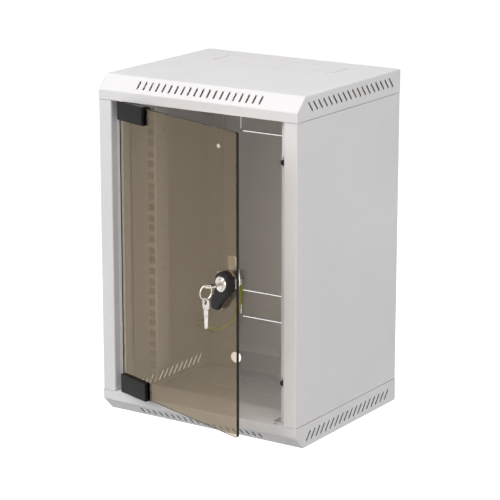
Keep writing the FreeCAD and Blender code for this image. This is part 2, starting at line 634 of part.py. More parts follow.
def make_rail(name):
    """The right rack rail: a channel with square rack holes and round side holes."""
    body = doc.addObject("PartDesign::Body", f"{name}_channel")
    profile = new_sketch(body, f"{name}_profile", "XY_Plane")
    rear = f"({RAIL_FRONT} + rail_leg)"
    inner_leg = f"({RAIL_INNER} + rail_thk)"
    outer_leg = f"({RAIL_OUTER} - rail_thk)"
    behind = f"({RAIL_FRONT} + rail_thk)"
    outline(profile, [
        (RAIL_INNER, rear),
        (RAIL_INNER, RAIL_FRONT),
        (RAIL_OUTER, RAIL_FRONT),
        (RAIL_OUTER, rear),
        (outer_leg, rear),
        (outer_leg, behind),
        (inner_leg, behind),
        (inner_leg, rear),
    ])
    pad(body, profile, "rack_units * unit_pitch", symmetric=True)
    rounded(body, "bend_radius", lambda edge: stands_at(
        edge, (RAIL_INNER, RAIL_FRONT), (RAIL_OUTER, RAIL_FRONT)))
    tools = []
    column = "rail_hole_span / 2"
    levels = rack_hole_levels()
    for level in levels:
        tools.append(block(f"{name}_rack_hole",
                           (f"{column} - rail_hole / 2", f"{column} + rail_hole / 2"),
                           (f"{RAIL_FRONT} - rail_thk", f"{behind} + rail_thk"),
                           (f"{level} - rail_hole / 2", f"{level} + rail_hole / 2")))
    for level in levels[2:-2]:
        tools.append(rod(f"{name}_side_hole", "x", "side_hole_dia",
                         (f"{RAIL_INNER} - rail_thk", f"{inner_leg} + rail_thk"),
                         (f"{RAIL_FRONT} + side_hole_setback", level)))
    end = "rack_units * unit_pitch / 2"
    for low, high in ((f"-{end} - tool_over", f"rail_notch - {end}"),
                      (f"{end} - rail_notch", f"{end} + tool_over")):
        tools.append(block(f"{name}_notch", (f"{RAIL_INNER} - tool_over", inner_leg),
                           (f"{RAIL_FRONT} + bend_radius", f"{rear} + tool_over"), (low, high)))
    for level in (f"-{RAIL_SCREW_Z}", RAIL_SCREW_Z):
        tools.append(rod(f"{name}_screw_hole", "x", SCREW_BORE,
                         (f"{outer_leg} - rail_thk", f"{RAIL_OUTER} + rail_thk"),
                         (RAIL_SCREW_Y, level)))
    return cut(name, body, *tools)


def make_bracket(name):
    """The upper right rail bracket: a plate spot-welded to the side, with a row of holes."""
    top = f"({BODY_HALF} - seam_gap)"
    front = "(bracket_front - cab_depth)"
    plate = block(f"{name}_plate", (RAIL_OUTER, WALL_IN), (front, "-bracket_rear"),
                  (f"{top} - bracket_height", top))
    pitch = f"(-bracket_rear - bracket_hole_end - {RAIL_SCREW_Y}) / bracket_hole_count"
    tools = []
    for number in range(int(value("bracket_hole_count"))):
        along = f"{RAIL_SCREW_Y} + {number + 1} * {pitch}"
        tools.append(rod(f"{name}_hole", "x", "bracket_hole_dia",
                         (f"{RAIL_OUTER} - rail_thk", WALL_IN), (along, RAIL_SCREW_Z)))
    tools.append(rod(f"{name}_tapped", "x", "screw_dia", (f"{RAIL_OUTER} - rail_thk", WALL_IN),
                     (RAIL_SCREW_Y, RAIL_SCREW_Z)))
    return cut(name, plate, *tools)


def screw(name, axis, head, tip, across):
    """A pan-head screw: the head's seat, the end of its shank, and the place of its axis."""
    inwards = value(tip) > value(head)
    seat, crown = (head, f"{head} - head_height") if inwards else (head, f"{head} + head_height")
    head_ends = (crown, seat) if inwards else (seat, crown)
    shank_ends = (seat, tip) if inwards else (tip, seat)
    return join(name, rod(f"{name}_head", axis, "head_dia", head_ends, across),
                rod(f"{name}_shank", axis, "screw_dia", shank_ends, across))


# ---- lid and base ----
lid = node(make_tray("lid_tray"), "lid")
bind(lid, "Placement.Base.z", BODY_HALF)
base = node(make_tray("base_tray_turned"), "base_tray")
base.Placement.Rotation = FreeCAD.Rotation(FreeCAD.Vector(0, 1, 0), 180)
bind(base, "Placement.Base.z", f"-({BODY_HALF})")

# ---- side panels, rear panel and rear cross strips ----
side_right = node(make_side_panel("side_right"), "side_panel_right")
node(mirror("side_left", side_right, (1, 0, 0)), "side_panel_left")
node(make_rear_panel("rear_plate"), "rear_panel")


def make_strip(name):
    """A rear cross strip, folded: it slopes from the rear panel to a ledge on the lid's rear wall."""
    body = doc.addObject("PartDesign::Body", name)
    sketch = new_sketch(body, f"{name}_section", "YZ_Plane")
    front = "(-sheet_thk - strip_depth)"
    start = f"({BODY_HALF} - strip_shift - strip_height / 2)"
    end = f"({BODY_HALF} - strip_shift + strip_height / 2)"
    outline(sketch, [
        ("-sheet_thk", start),
        ("-sheet_thk", f"{start} + 2 * sheet_thk"),
        (f"{front} + 1.5 * sheet_thk", f"{end} - sheet_thk"),
        ("-sheet_thk", f"{end} - sheet_thk"),
        ("-sheet_thk", end),
        (front, end),
        (front, f"{end} - sheet_thk"),
    ])
    pad(body, sketch, f"2 * {REAR_IN}", symmetric=True)
    return body


strip = node(make_strip("strip_upper"), "rear_strip_top")
node(mirror("strip_lower", strip, (0, 0, 1)), "rear_strip_bottom")

# ---- rack rails on their brackets ----
rail_right = node(make_rail("rail_r"), "rail_right")
node(mirror("rail_l", rail_right, (1, 0, 0)), "rail_left")
bracket = node(make_bracket("bracket_top_r"), "rail_bracket_top_right")
node(mirror("bracket_top_l", bracket, (1, 0, 0)), "rail_bracket_top_left")
bracket_low = node(mirror("bracket_low_r", bracket, (0, 0, 1)), "rail_bracket_bottom_right")
node(mirror("bracket_low_l", bracket_low, (1, 0, 0)), "rail_bracket_bottom_left")


def four_ways(name, piece):
    """A fastener at the upper right and its three mirror images."""
    left = mirror(f"{name}_left", piece, (1, 0, 0))
    low = mirror(f"{name}_low", piece, (0, 0, 1))
    low_left = mirror(f"{name}_low_left", left, (0, 0, 1))
    return [piece, left, low, low_left]


rail_screw = screw("rail_screw", "x", f"{RAIL_OUTER} - rail_thk", WALL_IN, (RAIL_SCREW_Y, RAIL_SCREW_Z))
node(group("rail_screw_set", *four_ways("rail_screw", rail_screw)), "rail_screws")

foot_screw = screw("foot_screw", "z", f"{BODY_HALF} + sheet_thk",
                   f"{BODY_HALF} - foot_thk", (FOOT_SCREW_X, FOOT_SCREW_Y))
node(group("foot_screw_set", *four_ways("foot_screw", foot_screw)), "tray_screws")

panel_screw = screw("panel_screw", "y", FLANGE_IN, "-running_gap", (PANEL_SCREW_X, "panel_screw_z"))
node(group("panel_screw_set", *four_ways("panel_screw", panel_screw)), "rear_panel_screws")

# ---- rubber bumpers on the right-hand door stop ----
def make_bumper(name, level):
    """A domed rubber bumper, held by a stem in the slot of the door stop."""
    body = doc.addObject("PartDesign::Body", name)
    head = new_sketch(body, f"{name}_head", "XZ_Plane", f"-{STOP_FRONT}")
    circle(head, BUMPER_X, level, "bumper_dia")
    pad(body, head, "bumper_height")
    rounded(body, "bumper_round", lambda edge: edge.CenterOfMass.y < value(STOP_FRONT) - 0.01)
    stem = new_sketch(body, f"{name}_stem", "XZ_Plane", f"-{STOP_FRONT}")
    circle(stem, BUMPER_X, level, "stop_slot_width")
    pad(body, stem, "2 * sheet_thk", reverse=True)
    return body


node(make_bumper("bumper_high", "bumper_z"), "door_bumper_upper")
node(make_bumper("bumper_low", "-bumper_z"), "door_bumper_lower")

# ---- glass door: everything here is drawn closed, with the hinge pin at x = 0, y = 0 ----
door_frame = frame_at("door_frame", f"-{PIN_X}", "pin_setback - cab_depth", "0", (0, 0, 1), "-door_angle")
lock_frame = frame_at("lock_frame", LOCK_X, "-glass_thk / 2", "lock_z", parent=door_frame)

CLAMP_SCREWS = ("clamp_screw_first", "clamp_screw_first + clamp_screw_step")
CLAMP_MIDDLE = f"({CLAMP_TOP} - clamp_height / 2)"


def make_pane(name):
    """The smoked glass pane with its rounded corners, lock hole and clamp holes."""
    body = doc.addObject("PartDesign::Body", name)
    sheet_of = new_sketch(body, f"{name}_outline", "XZ_Plane")
    rectangle(sheet_of, (PANE_START, PANE_END), (f"-{GLASS_TOP}", GLASS_TOP))
    pad(body, sheet_of, "glass_thk", symmetric=True)
    rounded(body, "glass_corner", lambda edge: runs_along(edge, "y"))
    holes = new_sketch(body, f"{name}_holes", "XZ_Plane")
    circle(holes, LOCK_X, "lock_z", "sleeve_dia + 2 * screw_play")
    for along in CLAMP_SCREWS:
        for level in (CLAMP_MIDDLE, f"-{CLAMP_MIDDLE}"):
            circle(holes, along, level, "glass_hole_dia")
    pocket(body, holes, "2 * glass_thk", symmetric=True)
    return body


node(place(make_pane("pane"), door_frame), "glass_pane")


def pin_seat(name):
    """The seat of the hinge pin, cut into both halves of a clamp."""
    return rod(f"{name}_pin_seat", "z", "pin_dia", (f"{GLASS_TOP} - clamp_play", f"{CLAMP_TOP} + tool_over"),
               ("0", "0"))


def make_clamp_front(name):
    """The front half of the upper hinge clamp: a plate with rims round the pane's corner."""
    body = doc.addObject("PartDesign::Body", f"{name}_block")
    start = f"({PANE_START} - clamp_rim)"
    face = "(-glass_thk / 2 - clamp_front)"
    sketch = new_sketch(body, f"{name}_plan", "XY_Plane", CLAMP_LOW)
    rectangle(sketch, (start, f"{start} + clamp_length"), (face, "glass_thk / 2"))
    pad(body, sketch, "clamp_height")
    rounded(body, "clamp_round", lambda edge: stands_at(edge, (start, face)))
    rounded(body, "clamp_edge", lambda edge: abs(edge.CenterOfMass.y - value(face)) < 0.01)
    room = block(f"{name}_room", (f"{PANE_START} - clamp_play", f"{start} + clamp_length + clamp_play"),
                 ("-glass_thk / 2", "glass_thk"),
                 (f"{CLAMP_LOW} - clamp_play", f"{GLASS_TOP} + clamp_play"))
    tools = [room]
    for along in CLAMP_SCREWS:
        tools.append(rod(f"{name}_tapped", "y", "screw_dia",
                         ("-glass_thk / 2 - clamp_front + sheet_thk", "0"), (along, CLAMP_MIDDLE)))
    return cut(name, body, *tools, pin_seat(name))


def make_clamp_rear(name):
    """The rear half of the upper hinge clamp: a flat plate, rounded at the hinge side."""
    body = doc.addObject("PartDesign::Body", f"{name}_block")
    back = "(glass_thk / 2 + clamp_rear)"
    end = f"{PANE_START} - clamp_rim + clamp_length + clamp_extra"
    sketch = new_sketch(body, f"{name}_plan", "XY_Plane", CLAMP_LOW)
    rectangle(sketch, (PANE_START, end), ("glass_thk / 2", back))
    pad(body, sketch, "clamp_height")
    rounded(body, "clamp_rear_round", lambda edge: stands_at(edge, (PANE_START, back)))
    tools = [rod(f"{name}_bore", "y", SCREW_BORE, ("0", f"{back} + tool_over"), (along, CLAMP_MIDDLE))
             for along in CLAMP_SCREWS]
    return cut(name, body, *tools, pin_seat(name))


clamp_front = node(place(make_clamp_front("clamp_front"), door_frame), "hinge_clamp_top_front")
clamp_rear = node(place(make_clamp_rear("clamp_rear"), door_frame), "hinge_clamp_top_rear")
node(mirror("clamp_front_low", clamp_front, (0, 0, 1)), "hinge_clamp_bottom_front")
node(mirror("clamp_rear_low", clamp_rear, (0, 0, 1)), "hinge_clamp_bottom_rear")

pin = join("pin", rod("pin_shank", "z", "pin_dia", (f"{GLASS_TOP} + clamp_play", f"{BODY_HALF} + pin_reach"),
                      ("0", "0")),
           rod("pin_collar", "z", "pin_collar_dia", (CLAMP_TOP, f"{BODY_HALF} - 2 * pin_play"), ("0", "0")))
node(place(pin, door_frame), "hinge_pin_top")
node(mirror("pin_low", pin, (0, 0, 1)), "hinge_pin_bottom")

clamp_screws = []
for number, along in enumerate(CLAMP_SCREWS):
    clamp_screws.append(screw(f"clamp_screw_{number}", "y", "glass_thk / 2 + clamp_rear",
                              "-glass_thk / 2 - clamp_front / 2", (along, CLAMP_MIDDLE)))
    clamp_screws.append(mirror(f"clamp_screw_{number}_low", clamp_screws[-1], (0, 0, 1)))
node(place(group("clamp_screw_set", *clamp_screws), door_frame), "hinge_clamp_screws")

# ---- lock: drawn on its own axis, with y = 0 on the front of the pane ----
cam_frame = frame_at("cam_frame", "0", "0", "0", (0, 1, 0), "-cam_angle", parent=lock_frame)
ON_AXIS = ("0", "0")
SLEEVE_END = "(glass_thk + sleeve_reach)"
CAM_FRONT = "(glass_thk + cam_setback)"
CAM_REAR = f"({CAM_FRONT} + cam_thk)"
FACE = "(handle_head_front + barrel_proud)"
PLUG_END = "(-barrel_seat - plug_floor)"


def make_nut(name, flats, thk, start):
    """A plain hexagon along +Y."""
    nut = doc.addObject("Part::Prism", name)
    nut.Polygon = 6
    nut.Placement.Rotation = AXIS_TURN["y"]
    bind(nut, "Circumradius", f"{flats} / 3 ^ 0.5")
    bind(nut, "Height", thk)
    bind(nut, "Placement.Base.y", start)
    return nut


lock_body = join("lock_foot", rod("lock_flange", "y", "lock_base_dia", ("-lock_base_thk", "0"), ON_AXIS),
                 rod("lock_sleeve", "y", "sleeve_dia", ("-lock_base_thk", SLEEVE_END), ON_AXIS))
lock_bore = rod("lock_bore", "y", "shaft_dia + 2 * pin_play",
                ("-2 * lock_base_thk", f"{SLEEVE_END} + tool_over"), ON_AXIS)
node(place(cut("lock_housing_cut", lock_body, lock_bore), lock_frame), "lock_housing")

nut_blank = make_nut("nut_blank", "nut_flats", "nut_thk", "glass_thk")
nut_bore = rod("nut_bore", "y", "sleeve_dia", ("0", f"{SLEEVE_END} + nut_thk"), ON_AXIS)
node(place(cut("nut_cut", nut_blank, nut_bore), lock_frame), "lock_nut")

barrel_solid = join("barrel_solid",
                    rod("barrel_head", "y", "barrel_dia", (f"-{FACE}", "-barrel_seat"), ON_AXIS),
                    rod("barrel_shaft", "y", "shaft_dia",
                        ("-barrel_seat", f"{CAM_FRONT} - running_gap / 2"), ON_AXIS),
                    rod("barrel_end", "y", "cam_seat_dia", ("0", CAM_REAR), ON_AXIS))
barrel_bores = (rod("plug_bore", "y", "plug_dia", (f"-{FACE} - tool_over", PLUG_END), ON_AXIS),
                rod("tip_bore", "y", "tip_bore_dia",
                    (f"{PLUG_END} - tool_over", "tip_bore_end"), ON_AXIS),
                rod("cam_screw_bore", "y", "screw_dia",
                    ("tip_bore_end + plug_floor", f"{CAM_REAR} + tool_over"), ON_AXIS))
node(place(cut("barrel_cut", barrel_solid, *barrel_bores), lock_frame), "lock_barrel")


def make_handle(name):
    """The moulded swing handle: a round head and a comma-shaped grip that curves towards the hinge."""
    side_end = ("grip_side", "-grip_straight")
    hollow = ("-grip_hollow", "-grip_bend")
    end_corners = (("-grip_end_near", "-handle_length"), ("-grip_end_far", "-handle_length"))
    wide = ("-grip_wide", "-grip_bend")
    body = doc.addObject("PartDesign::Body", f"{name}_grip")
    sketch = new_sketch(body, f"{name}_outline", "XZ_Plane", "grip_rear")
    outline(sketch, [("grip_side", "0"), side_end, hollow, *end_corners, wide,
                     ("-grip_side", "-grip_neck"), ("-grip_side", "0")])
    pad(body, sketch, "handle_head_front - grip_step - grip_rear")
    rounded(body, "grip_end_round", lambda edge: stands_at(edge, *end_corners, axis="y"))
    rounded(body, "grip_side_round", lambda edge: stands_at(edge, side_end, wide, axis="y"))
    rounded(body, "grip_hollow_round", lambda edge: stands_at(edge, hollow, axis="y"))
    front = value("grip_step - handle_head_front")
    rounded(body, "grip_radius", lambda edge: abs(edge.CenterOfMass.y - front) < 0.01
            and edge.CenterOfMass.z < -0.01)
    head_body = doc.addObject("PartDesign::Body", f"{name}_head")
    disc = new_sketch(head_body, f"{name}_disc", "XZ_Plane", "lock_base_thk + running_gap")
    circle(disc, "0", "0", "handle_head_dia")
    pad(head_body, disc, "handle_head_front - lock_base_thk - running_gap")
    rounded(head_body, "head_radius", lambda edge: edge.CenterOfMass.y < -value("handle_head_front") + 0.01)
    whole = join(f"{name}_whole", body, head_body)
    bore = rod(f"{name}_bore", "y", "barrel_dia", ("-2 * handle_head_front", "-barrel_seat"), ON_AXIS)
    shaft = rod(f"{name}_shaft", "y", "shaft_dia", ("-2 * handle_head_front", "0"), ON_AXIS)
    return cut(name, whole, bore, shaft)


node(place(make_handle("handle"), lock_frame), "lock_handle")


def make_cam(name):
    """The lock cam, pointing straight up: a flat arm with round ends."""
    body = doc.addObject("PartDesign::Body", name)
    sketch = new_sketch(body, f"{name}_outline", "XZ_Plane")
    rectangle(sketch, ("-cam_width / 2", "cam_width / 2"), ("-cam_width / 2", "cam_reach"))
    pad(body, sketch, "cam_thk")
    rounded(body, "cam_tail_radius", lambda edge: runs_along(edge, "y") and edge.CenterOfMass.z < 0)
    rounded(body, "cam_tip_radius", lambda edge: runs_along(edge, "y")
            and edge.CenterOfMass.z > value("cam_width"))
    hole = new_sketch(body, f"{name}_seat", "XZ_Plane")
    circle(hole, "0", "0", "cam_seat_dia")
    pocket(body, hole, "4 * cam_thk", symmetric=True)
    return body


cam_place = frame_at("cam_place", "0", CAM_REAR, "0", parent=cam_frame)
node(place(make_cam("cam"), cam_place), "lock_cam")
cam_fixing = screw("cam_fixing", "y", CAM_REAR, f"{CAM_REAR} - cam_setback / 2", ON_AXIS)
node(place(cam_fixing, lock_frame), "cam_screw")

# ---- key plug and keys: a key lies flat in x and y, with its bow's middle at the origin ----
BOW_REACH = f"({FACE} + key_length - key_in - key_bow_length / 2)"
HOLE_OUT = "(key_bow_length / 2 - key_rim - key_hole_dia / 2)"


def make_key(name, plane, flat):
    """A key with an oblong bow and a tapered blade that points along the plane's second axis."""
    body = doc.addObject("PartDesign::Body", name)
    bow = new_sketch(body, f"{name}_bow", plane)
    rectangle(bow, ("-key_bow_width / 2", "key_bow_width / 2"), ("-key_bow_length / 2", "key_bow_length / 2"))
    pad(body, bow, "key_thk", symmetric=True)
    rounded(body, "key_bow_round", lambda edge: runs_along(edge, flat))
    blade = new_sketch(body, f"{name}_blade", plane)
    tip = "key_length - key_bow_length / 2"
    outline(blade, [
        ("-key_blade / 2", "key_bow_length / 4"),
        ("key_blade / 2", "key_bow_length / 4"),
        ("key_tip / 2", tip),
        ("-key_tip / 2", tip),
    ])
    pad(body, blade, "key_thk", symmetric=True)
    corners = (("key_tip / 2", tip), ("-key_tip / 2", tip))
    rounded(body, "key_tip_round", lambda edge: stands_at(edge, *corners, axis=flat))
    hole = new_sketch(body, f"{name}_hole", plane)
    circle(hole, "0", f"-{HOLE_OUT}", "key_hole_dia")
    pocket(body, hole, "2 * key_thk", symmetric=True)
    return body


plug = rod("plug_core", "y", "plug_dia - 2 * pin_play",
           (f"-{FACE} - plug_proud", f"{PLUG_END} - running_gap"), ON_AXIS)
key_way = block("key_way", ("-key_blade / 2", "key_blade / 2"), (f"-{FACE} - tool_over", "0"),
                ("-key_thk / 2", "key_thk / 2"))
node(place(cut("plug_cut", plug, key_way), lock_frame), "key_plug")

key_frame = frame_at("key_frame", "0", f"-{BOW_REACH}", "0", parent=lock_frame)
node(place(make_key("key_blank", "XY_Plane", "z"), key_frame), "key")

# The ring hangs over the rim of the bow; the spare key hangs in the bottom of the ring.
ring_y = f"(key_rim / 2 - key_bow_length / 2 - {BOW_REACH})"
ring_z = "(key_thk / 2 + ring_play + ring_wire / 2 - ring_dia / 2)"
ring_frame = frame_at("ring_frame", "0", ring_y, ring_z, parent=lock_frame)
ring = doc.addObject("Part::Torus", "ring")
bind(ring, "Radius1", "ring_dia / 2")
bind(ring, "Radius2", "ring_wire / 2")
turned = frame_at("ring_turned", "0", "0", "0", (0, 1, 0), "90", parent=ring_frame)
node(place(ring, turned), "key_ring")

spare_z = f"(ring_wire / 2 + ring_play - ring_dia / 2 - key_hole_dia / 2 - {HOLE_OUT})"
spare_frame = frame_at("spare_frame", "0", "0", spare_z, (0, 1, 0), "180", parent=ring_frame)
node(place(make_key("spare_blank", "XZ_Plane", "y"), spare_frame), "spare_key")

# ---- earth bonding between the rear panel and the left side ----
panel_stud_frame = frame_at("panel_stud_frame", "-panel_stud_x", "-sheet_thk", "-panel_stud_z",
                            (0, 0, 1), "180")
wall_stud_frame = frame_at("wall_stud_frame", f"-{WALL_IN}", "-wall_stud_setback", "-wall_stud_z",
                           (0, 0, 1), "-90")
panel_lug_frame = frame_at("panel_lug_frame", "0", "stud_base_thk", "0", parent=panel_stud_frame)
wall_lug_frame = frame_at("wall_lug_frame", "0", "stud_base_thk", "0", (0, 1, 0), "-lug_turn",
                          parent=wall_stud_frame)


def make_stud(name):
    """A welded earth stud along +Y, with one nut on the sheet at y = 0 and one over the lug."""
    thread = rod(f"{name}_thread", "y", "stud_dia", ("0", "stud_reach"), ON_AXIS)
    base_nut = make_nut(f"{name}_base_nut", "stud_nut_flats", "stud_base_thk", "0")
    top_nut = make_nut(f"{name}_top_nut", "stud_nut_flats", "stud_nut_thk", "stud_base_thk + lug_thk")
    return join(name, thread, base_nut, top_nut)


def make_lug(name, bend):
    """A ring cable lug, its barrel pointing down -Z and bent off the sheet by an angle."""
    eye = join(f"{name}_eye", rod(f"{name}_ring", "y", "lug_dia", ("0", "lug_thk"), ON_AXIS),
               block(f"{name}_tongue", ("-lug_dia / 4", "lug_dia / 4"), ("0", "lug_thk"),
                     ("-lug_tongue - lug_thk", "0")))
    hole = rod(f"{name}_hole", "y", "stud_dia", ("-tool_over", "lug_thk + tool_over"), ON_AXIS)
    barrel = doc.addObject("Part::Cylinder", f"{name}_barrel")
    bind(barrel, "Radius", "lug_barrel_dia / 2")
    bind(barrel, "Height", "lug_reach - lug_tongue")
    barrel_at = (f"create(<<placement>>; create(<<vector>>; 0; lug_barrel_dia / 2; -lug_tongue); "
                 f"create(<<rotation>>; create(<<vector>>; 1; 0; 0); 180 + {bend}))")
    bind(barrel, "Placement", barrel_at)
    return join(name, cut(f"{name}_pierced", eye, hole), barrel)


node(group("stud_pair", place(make_stud("panel_stud"), panel_stud_frame),
           place(make_stud("wall_stud"), wall_stud_frame)), "earth_studs")
node(place(make_lug("panel_lug", "0"), panel_lug_frame), "cable_lug_rear")
node(place(make_lug("wall_lug", "lug_bend"), wall_lug_frame), "cable_lug_side")

# The wire hangs free in a slack bow between the two lugs. Its points were chosen by hand.
WIRE_POINTS = [
    (-96, -7.1, -103),
    (-96, -7.1, -113),
    (-97.2, -9.5, -131.6),
    (-98.7, -15, -146.6),
    (-103.1, -24, -158),
    (-108.8, -34, -163.9),
    (-117.2, -42, -164.8),
    (-128.18, -46.04, -161.97),
    (-139.77, -42.96, -161.54),
]


def make_wire(name, points, dia):
    """A round wire along straight runs and the largest arcs that fit between them."""
    corners = [FreeCAD.Vector(*point) for point in points]
    edges = []
    start = corners[0]
    for before, corner, after in zip(corners, corners[1:], corners[2:]):
        back = (before - corner).normalize()
        ahead = (after - corner).normalize()
        half_turn = (math.pi - back.getAngle(ahead)) / 2
        reach = 0.45 * min(before.distanceToPoint(corner), after.distanceToPoint(corner))
        radius = reach / math.tan(half_turn)
        inward = (back + ahead).normalize()
        top = corner + inward * (radius / math.cos(half_turn) - radius)
        arc = Part.Arc(corner + back * reach, top, corner + ahead * reach)
        edges.append(Part.LineSegment(start, corner + back * reach).toShape())
        edges.append(arc.toShape())
        start = corner + ahead * reach
        print(f"wire bend radius {radius:.1f}")
    edges.append(Part.LineSegment(start, corners[-1]).toShape())
    path = Part.Wire(edges)
    section = Part.Wire(Part.Circle(corners[0], corners[1] - corners[0], dia / 2).toShape())
    tube = path.makePipeShell([section], True, False, 2)
    print(f"wire length {path.Length:.1f}, volume against section times length "
          f"{tube.Volume / (math.pi * dia ** 2 / 4 * path.Length):.4f}")
    wire = doc.addObject("Part::Feature", name)
    wire.Shape = tube
    return wire


node(make_wire("wire_tube", WIRE_POINTS, value("wire_dia")), "earth_wire")
doc.recompute()

# ---- write everything ----
for obj in doc.Objects:
    if "Invalid" in obj.State or "Error" in obj.State:
        raise RuntimeError(f"{obj.Label}: {obj.State}")
os.makedirs("parts", exist_ok=True)
for obj in NODES:
    if obj.Shape.isNull() or not obj.Shape.isValid():
        raise RuntimeError(f"{obj.Label} has no valid shape")
    obj.Shape.exportStep(f"parts/{obj.Label}.step")
print(len(NODES), "nodes,", sum(len(obj.Shape.Solids) for obj in NODES), "solids")
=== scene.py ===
import math

import bmesh
import bpy
from mathutils import Matrix, Vector


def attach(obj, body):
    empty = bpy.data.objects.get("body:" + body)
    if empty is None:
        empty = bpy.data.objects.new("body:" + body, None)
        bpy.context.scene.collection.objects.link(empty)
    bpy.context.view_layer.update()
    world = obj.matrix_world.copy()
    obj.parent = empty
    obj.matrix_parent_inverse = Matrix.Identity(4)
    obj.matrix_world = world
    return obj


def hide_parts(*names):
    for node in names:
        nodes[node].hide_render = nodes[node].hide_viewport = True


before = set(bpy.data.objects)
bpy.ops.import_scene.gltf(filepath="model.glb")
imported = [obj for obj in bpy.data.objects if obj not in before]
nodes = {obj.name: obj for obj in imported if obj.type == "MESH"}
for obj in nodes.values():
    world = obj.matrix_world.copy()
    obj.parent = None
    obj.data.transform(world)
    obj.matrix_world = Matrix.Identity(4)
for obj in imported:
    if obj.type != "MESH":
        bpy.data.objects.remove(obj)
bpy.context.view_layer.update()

# ---- Camera, lamps and backdrop ----
# The cabinet is seen from its right and a little above, through a long lens. Broad soft lamps
# stand above, on both sides of the front, on the right and behind, and a white room closes the view.
LENS = 159.05
SENSOR = 36
LONGEST_SIGHT = 60
CAMERA_PLACE = (1.58673, -2.54880, 0.73972)
CAMERA_DROP = 14.56
CAMERA_TURN = 33.28
camera_lens = bpy.data.cameras.new("camera")
camera_lens.lens = LENS
camera_lens.sensor_width = SENSOR
camera_lens.clip_end = LONGEST_SIGHT
camera = bpy.data.objects.new("camera", camera_lens)
camera.location = CAMERA_PLACE
camera.rotation_euler = (math.radians(90 - CAMERA_DROP), 0, math.radians(CAMERA_TURN))
bpy.context.collection.objects.link(camera)
bpy.context.scene.camera = camera
bpy.context.scene.view_settings.view_transform = "Standard"


def soft_lamp(name, place, size, watts):
    """A square lamp that faces the middle of the cabinet."""
    data = bpy.data.lights.new(name, "AREA")
    data.size = size
    data.energy = watts
    lamp = bpy.data.objects.new(name, data)
    lamp.location = place
    lamp.rotation_euler = (-Vector(place)).to_track_quat("-Z", "Y").to_euler()
    bpy.context.collection.objects.link(lamp)


soft_lamp("lamp_left", (-1.6, -3.4, 2.2), 2.6, 102)
soft_lamp("lamp_front", (2.0, -3.2, 1.2), 2.4, 18)
soft_lamp("lamp_top", (0.2, -1.1, 2.8), 1.8, 46)
soft_lamp("lamp_right", (3.3, -0.9, 0.9), 2.0, 42)
soft_lamp("lamp_back", (1.0, 3.4, 0.5), 2.4, 42)


def worked(tree, operation, *values):
    """The result of one operation on values, each a number or a node's output."""
    node = tree.nodes.new("ShaderNodeMath")
    node.operation = operation
    for socket, value in zip(node.inputs, values):
        if isinstance(value, (int, float)):
            socket.default_value = value
        else:
            tree.links.new(value, socket)
    return node.outputs[0]


def seen_directly(tree):
    """1 on what the lens, a polished surface or the glass looks at, and 0 for the light that it casts."""
    path = tree.nodes.new("ShaderNodeLightPath")
    looked_at = worked(tree, "MAXIMUM", path.outputs["Is Camera Ray"], path.outputs["Is Glossy Ray"])
    return worked(tree, "MAXIMUM", looked_at, path.outputs["Is Transmission Ray"])


ROOM_LIGHT = 0.056
room = bpy.data.worlds.new("room")
room.use_nodes = True
bpy.context.scene.world = room
room_tree = room.node_tree
room_tree.nodes.clear()
room_shade = room_tree.nodes.new("ShaderNodeMix")
room_shade.inputs["A"].default_value = ROOM_LIGHT
room_shade.inputs["B"].default_value = 1.0
room_tree.links.new(seen_directly(room_tree), room_shade.inputs["Factor"])
room_glow = room_tree.nodes.new("ShaderNodeBackground")
room_glow.inputs["Color"].default_value = (1, 1, 1, 1)
room_tree.links.new(room_shade.outputs["Result"], room_glow.inputs["Strength"])
room_out = room_tree.nodes.new("ShaderNodeOutputWorld")
room_tree.links.new(room_glow.outputs[0], room_out.inputs["Surface"])

FLOOR_LEVEL = -0.80
FLOOR_REACH = 8
FLOOR_PAINT = (0.56, 0.56, 0.56, 1)
floor_mesh = bpy.data.meshes.new("floor")
floor_shape = bmesh.new()
bmesh.ops.create_grid(floor_shape, size=FLOOR_REACH, matrix=Matrix.Translation((0, 0, FLOOR_LEVEL)))
floor_shape.to_mesh(floor_mesh)
floor_shape.free()
floor = bpy.data.objects.new("floor", floor_mesh)
bpy.context.collection.objects.link(floor)
floor_paint = bpy.data.materials.new("floor_paint")
floor_paint.use_nodes = True
floor_tree = floor_paint.node_tree
floor_tree.nodes.clear()
floor_matt = floor_tree.nodes.new("ShaderNodeBsdfDiffuse")
floor_matt.inputs["Color"].default_value = FLOOR_PAINT
floor_glow = floor_tree.nodes.new("ShaderNodeEmission")
floor_tree.links.new(seen_directly(floor_tree), floor_glow.inputs["Strength"])
floor_sum = floor_tree.nodes.new("ShaderNodeAddShader")
floor_tree.links.new(floor_matt.outputs[0], floor_sum.inputs[0])
floor_tree.links.new(floor_glow.outputs[0], floor_sum.inputs[1])
floor_out = floor_tree.nodes.new("ShaderNodeOutputMaterial")
floor_tree.links.new(floor_sum.outputs[0], floor_out.inputs["Surface"])
floor.data.materials.append(floor_paint)

# ---- Earth wire ----
# A 2.5 square millimetre earthing wire in green and yellow PVC. It is crimped into a ring lug at
# each end and hangs in a slack bow between the rear panel and the left side panel.
WIRE_ROUTE = [
    (-0.09600, -0.00710, -0.10300),
    (-0.09600, -0.00710, -0.11300),
    (-0.09720, -0.00950, -0.13160),
    (-0.09870, -0.01500, -0.14660),
    (-0.10310, -0.02400, -0.15800),
    (-0.10880, -0.03400, -0.16390),
    (-0.11720, -0.04200, -0.16480),
    (-0.12818, -0.04604, -0.16197),
    (-0.13977, -0.04296, -0.16154),
]
WIRE_THICKNESS = 0.004
WIRE_SIDES = 20
STRIPE_TURNS = 1.5
YELLOW_SHARE = 0.68

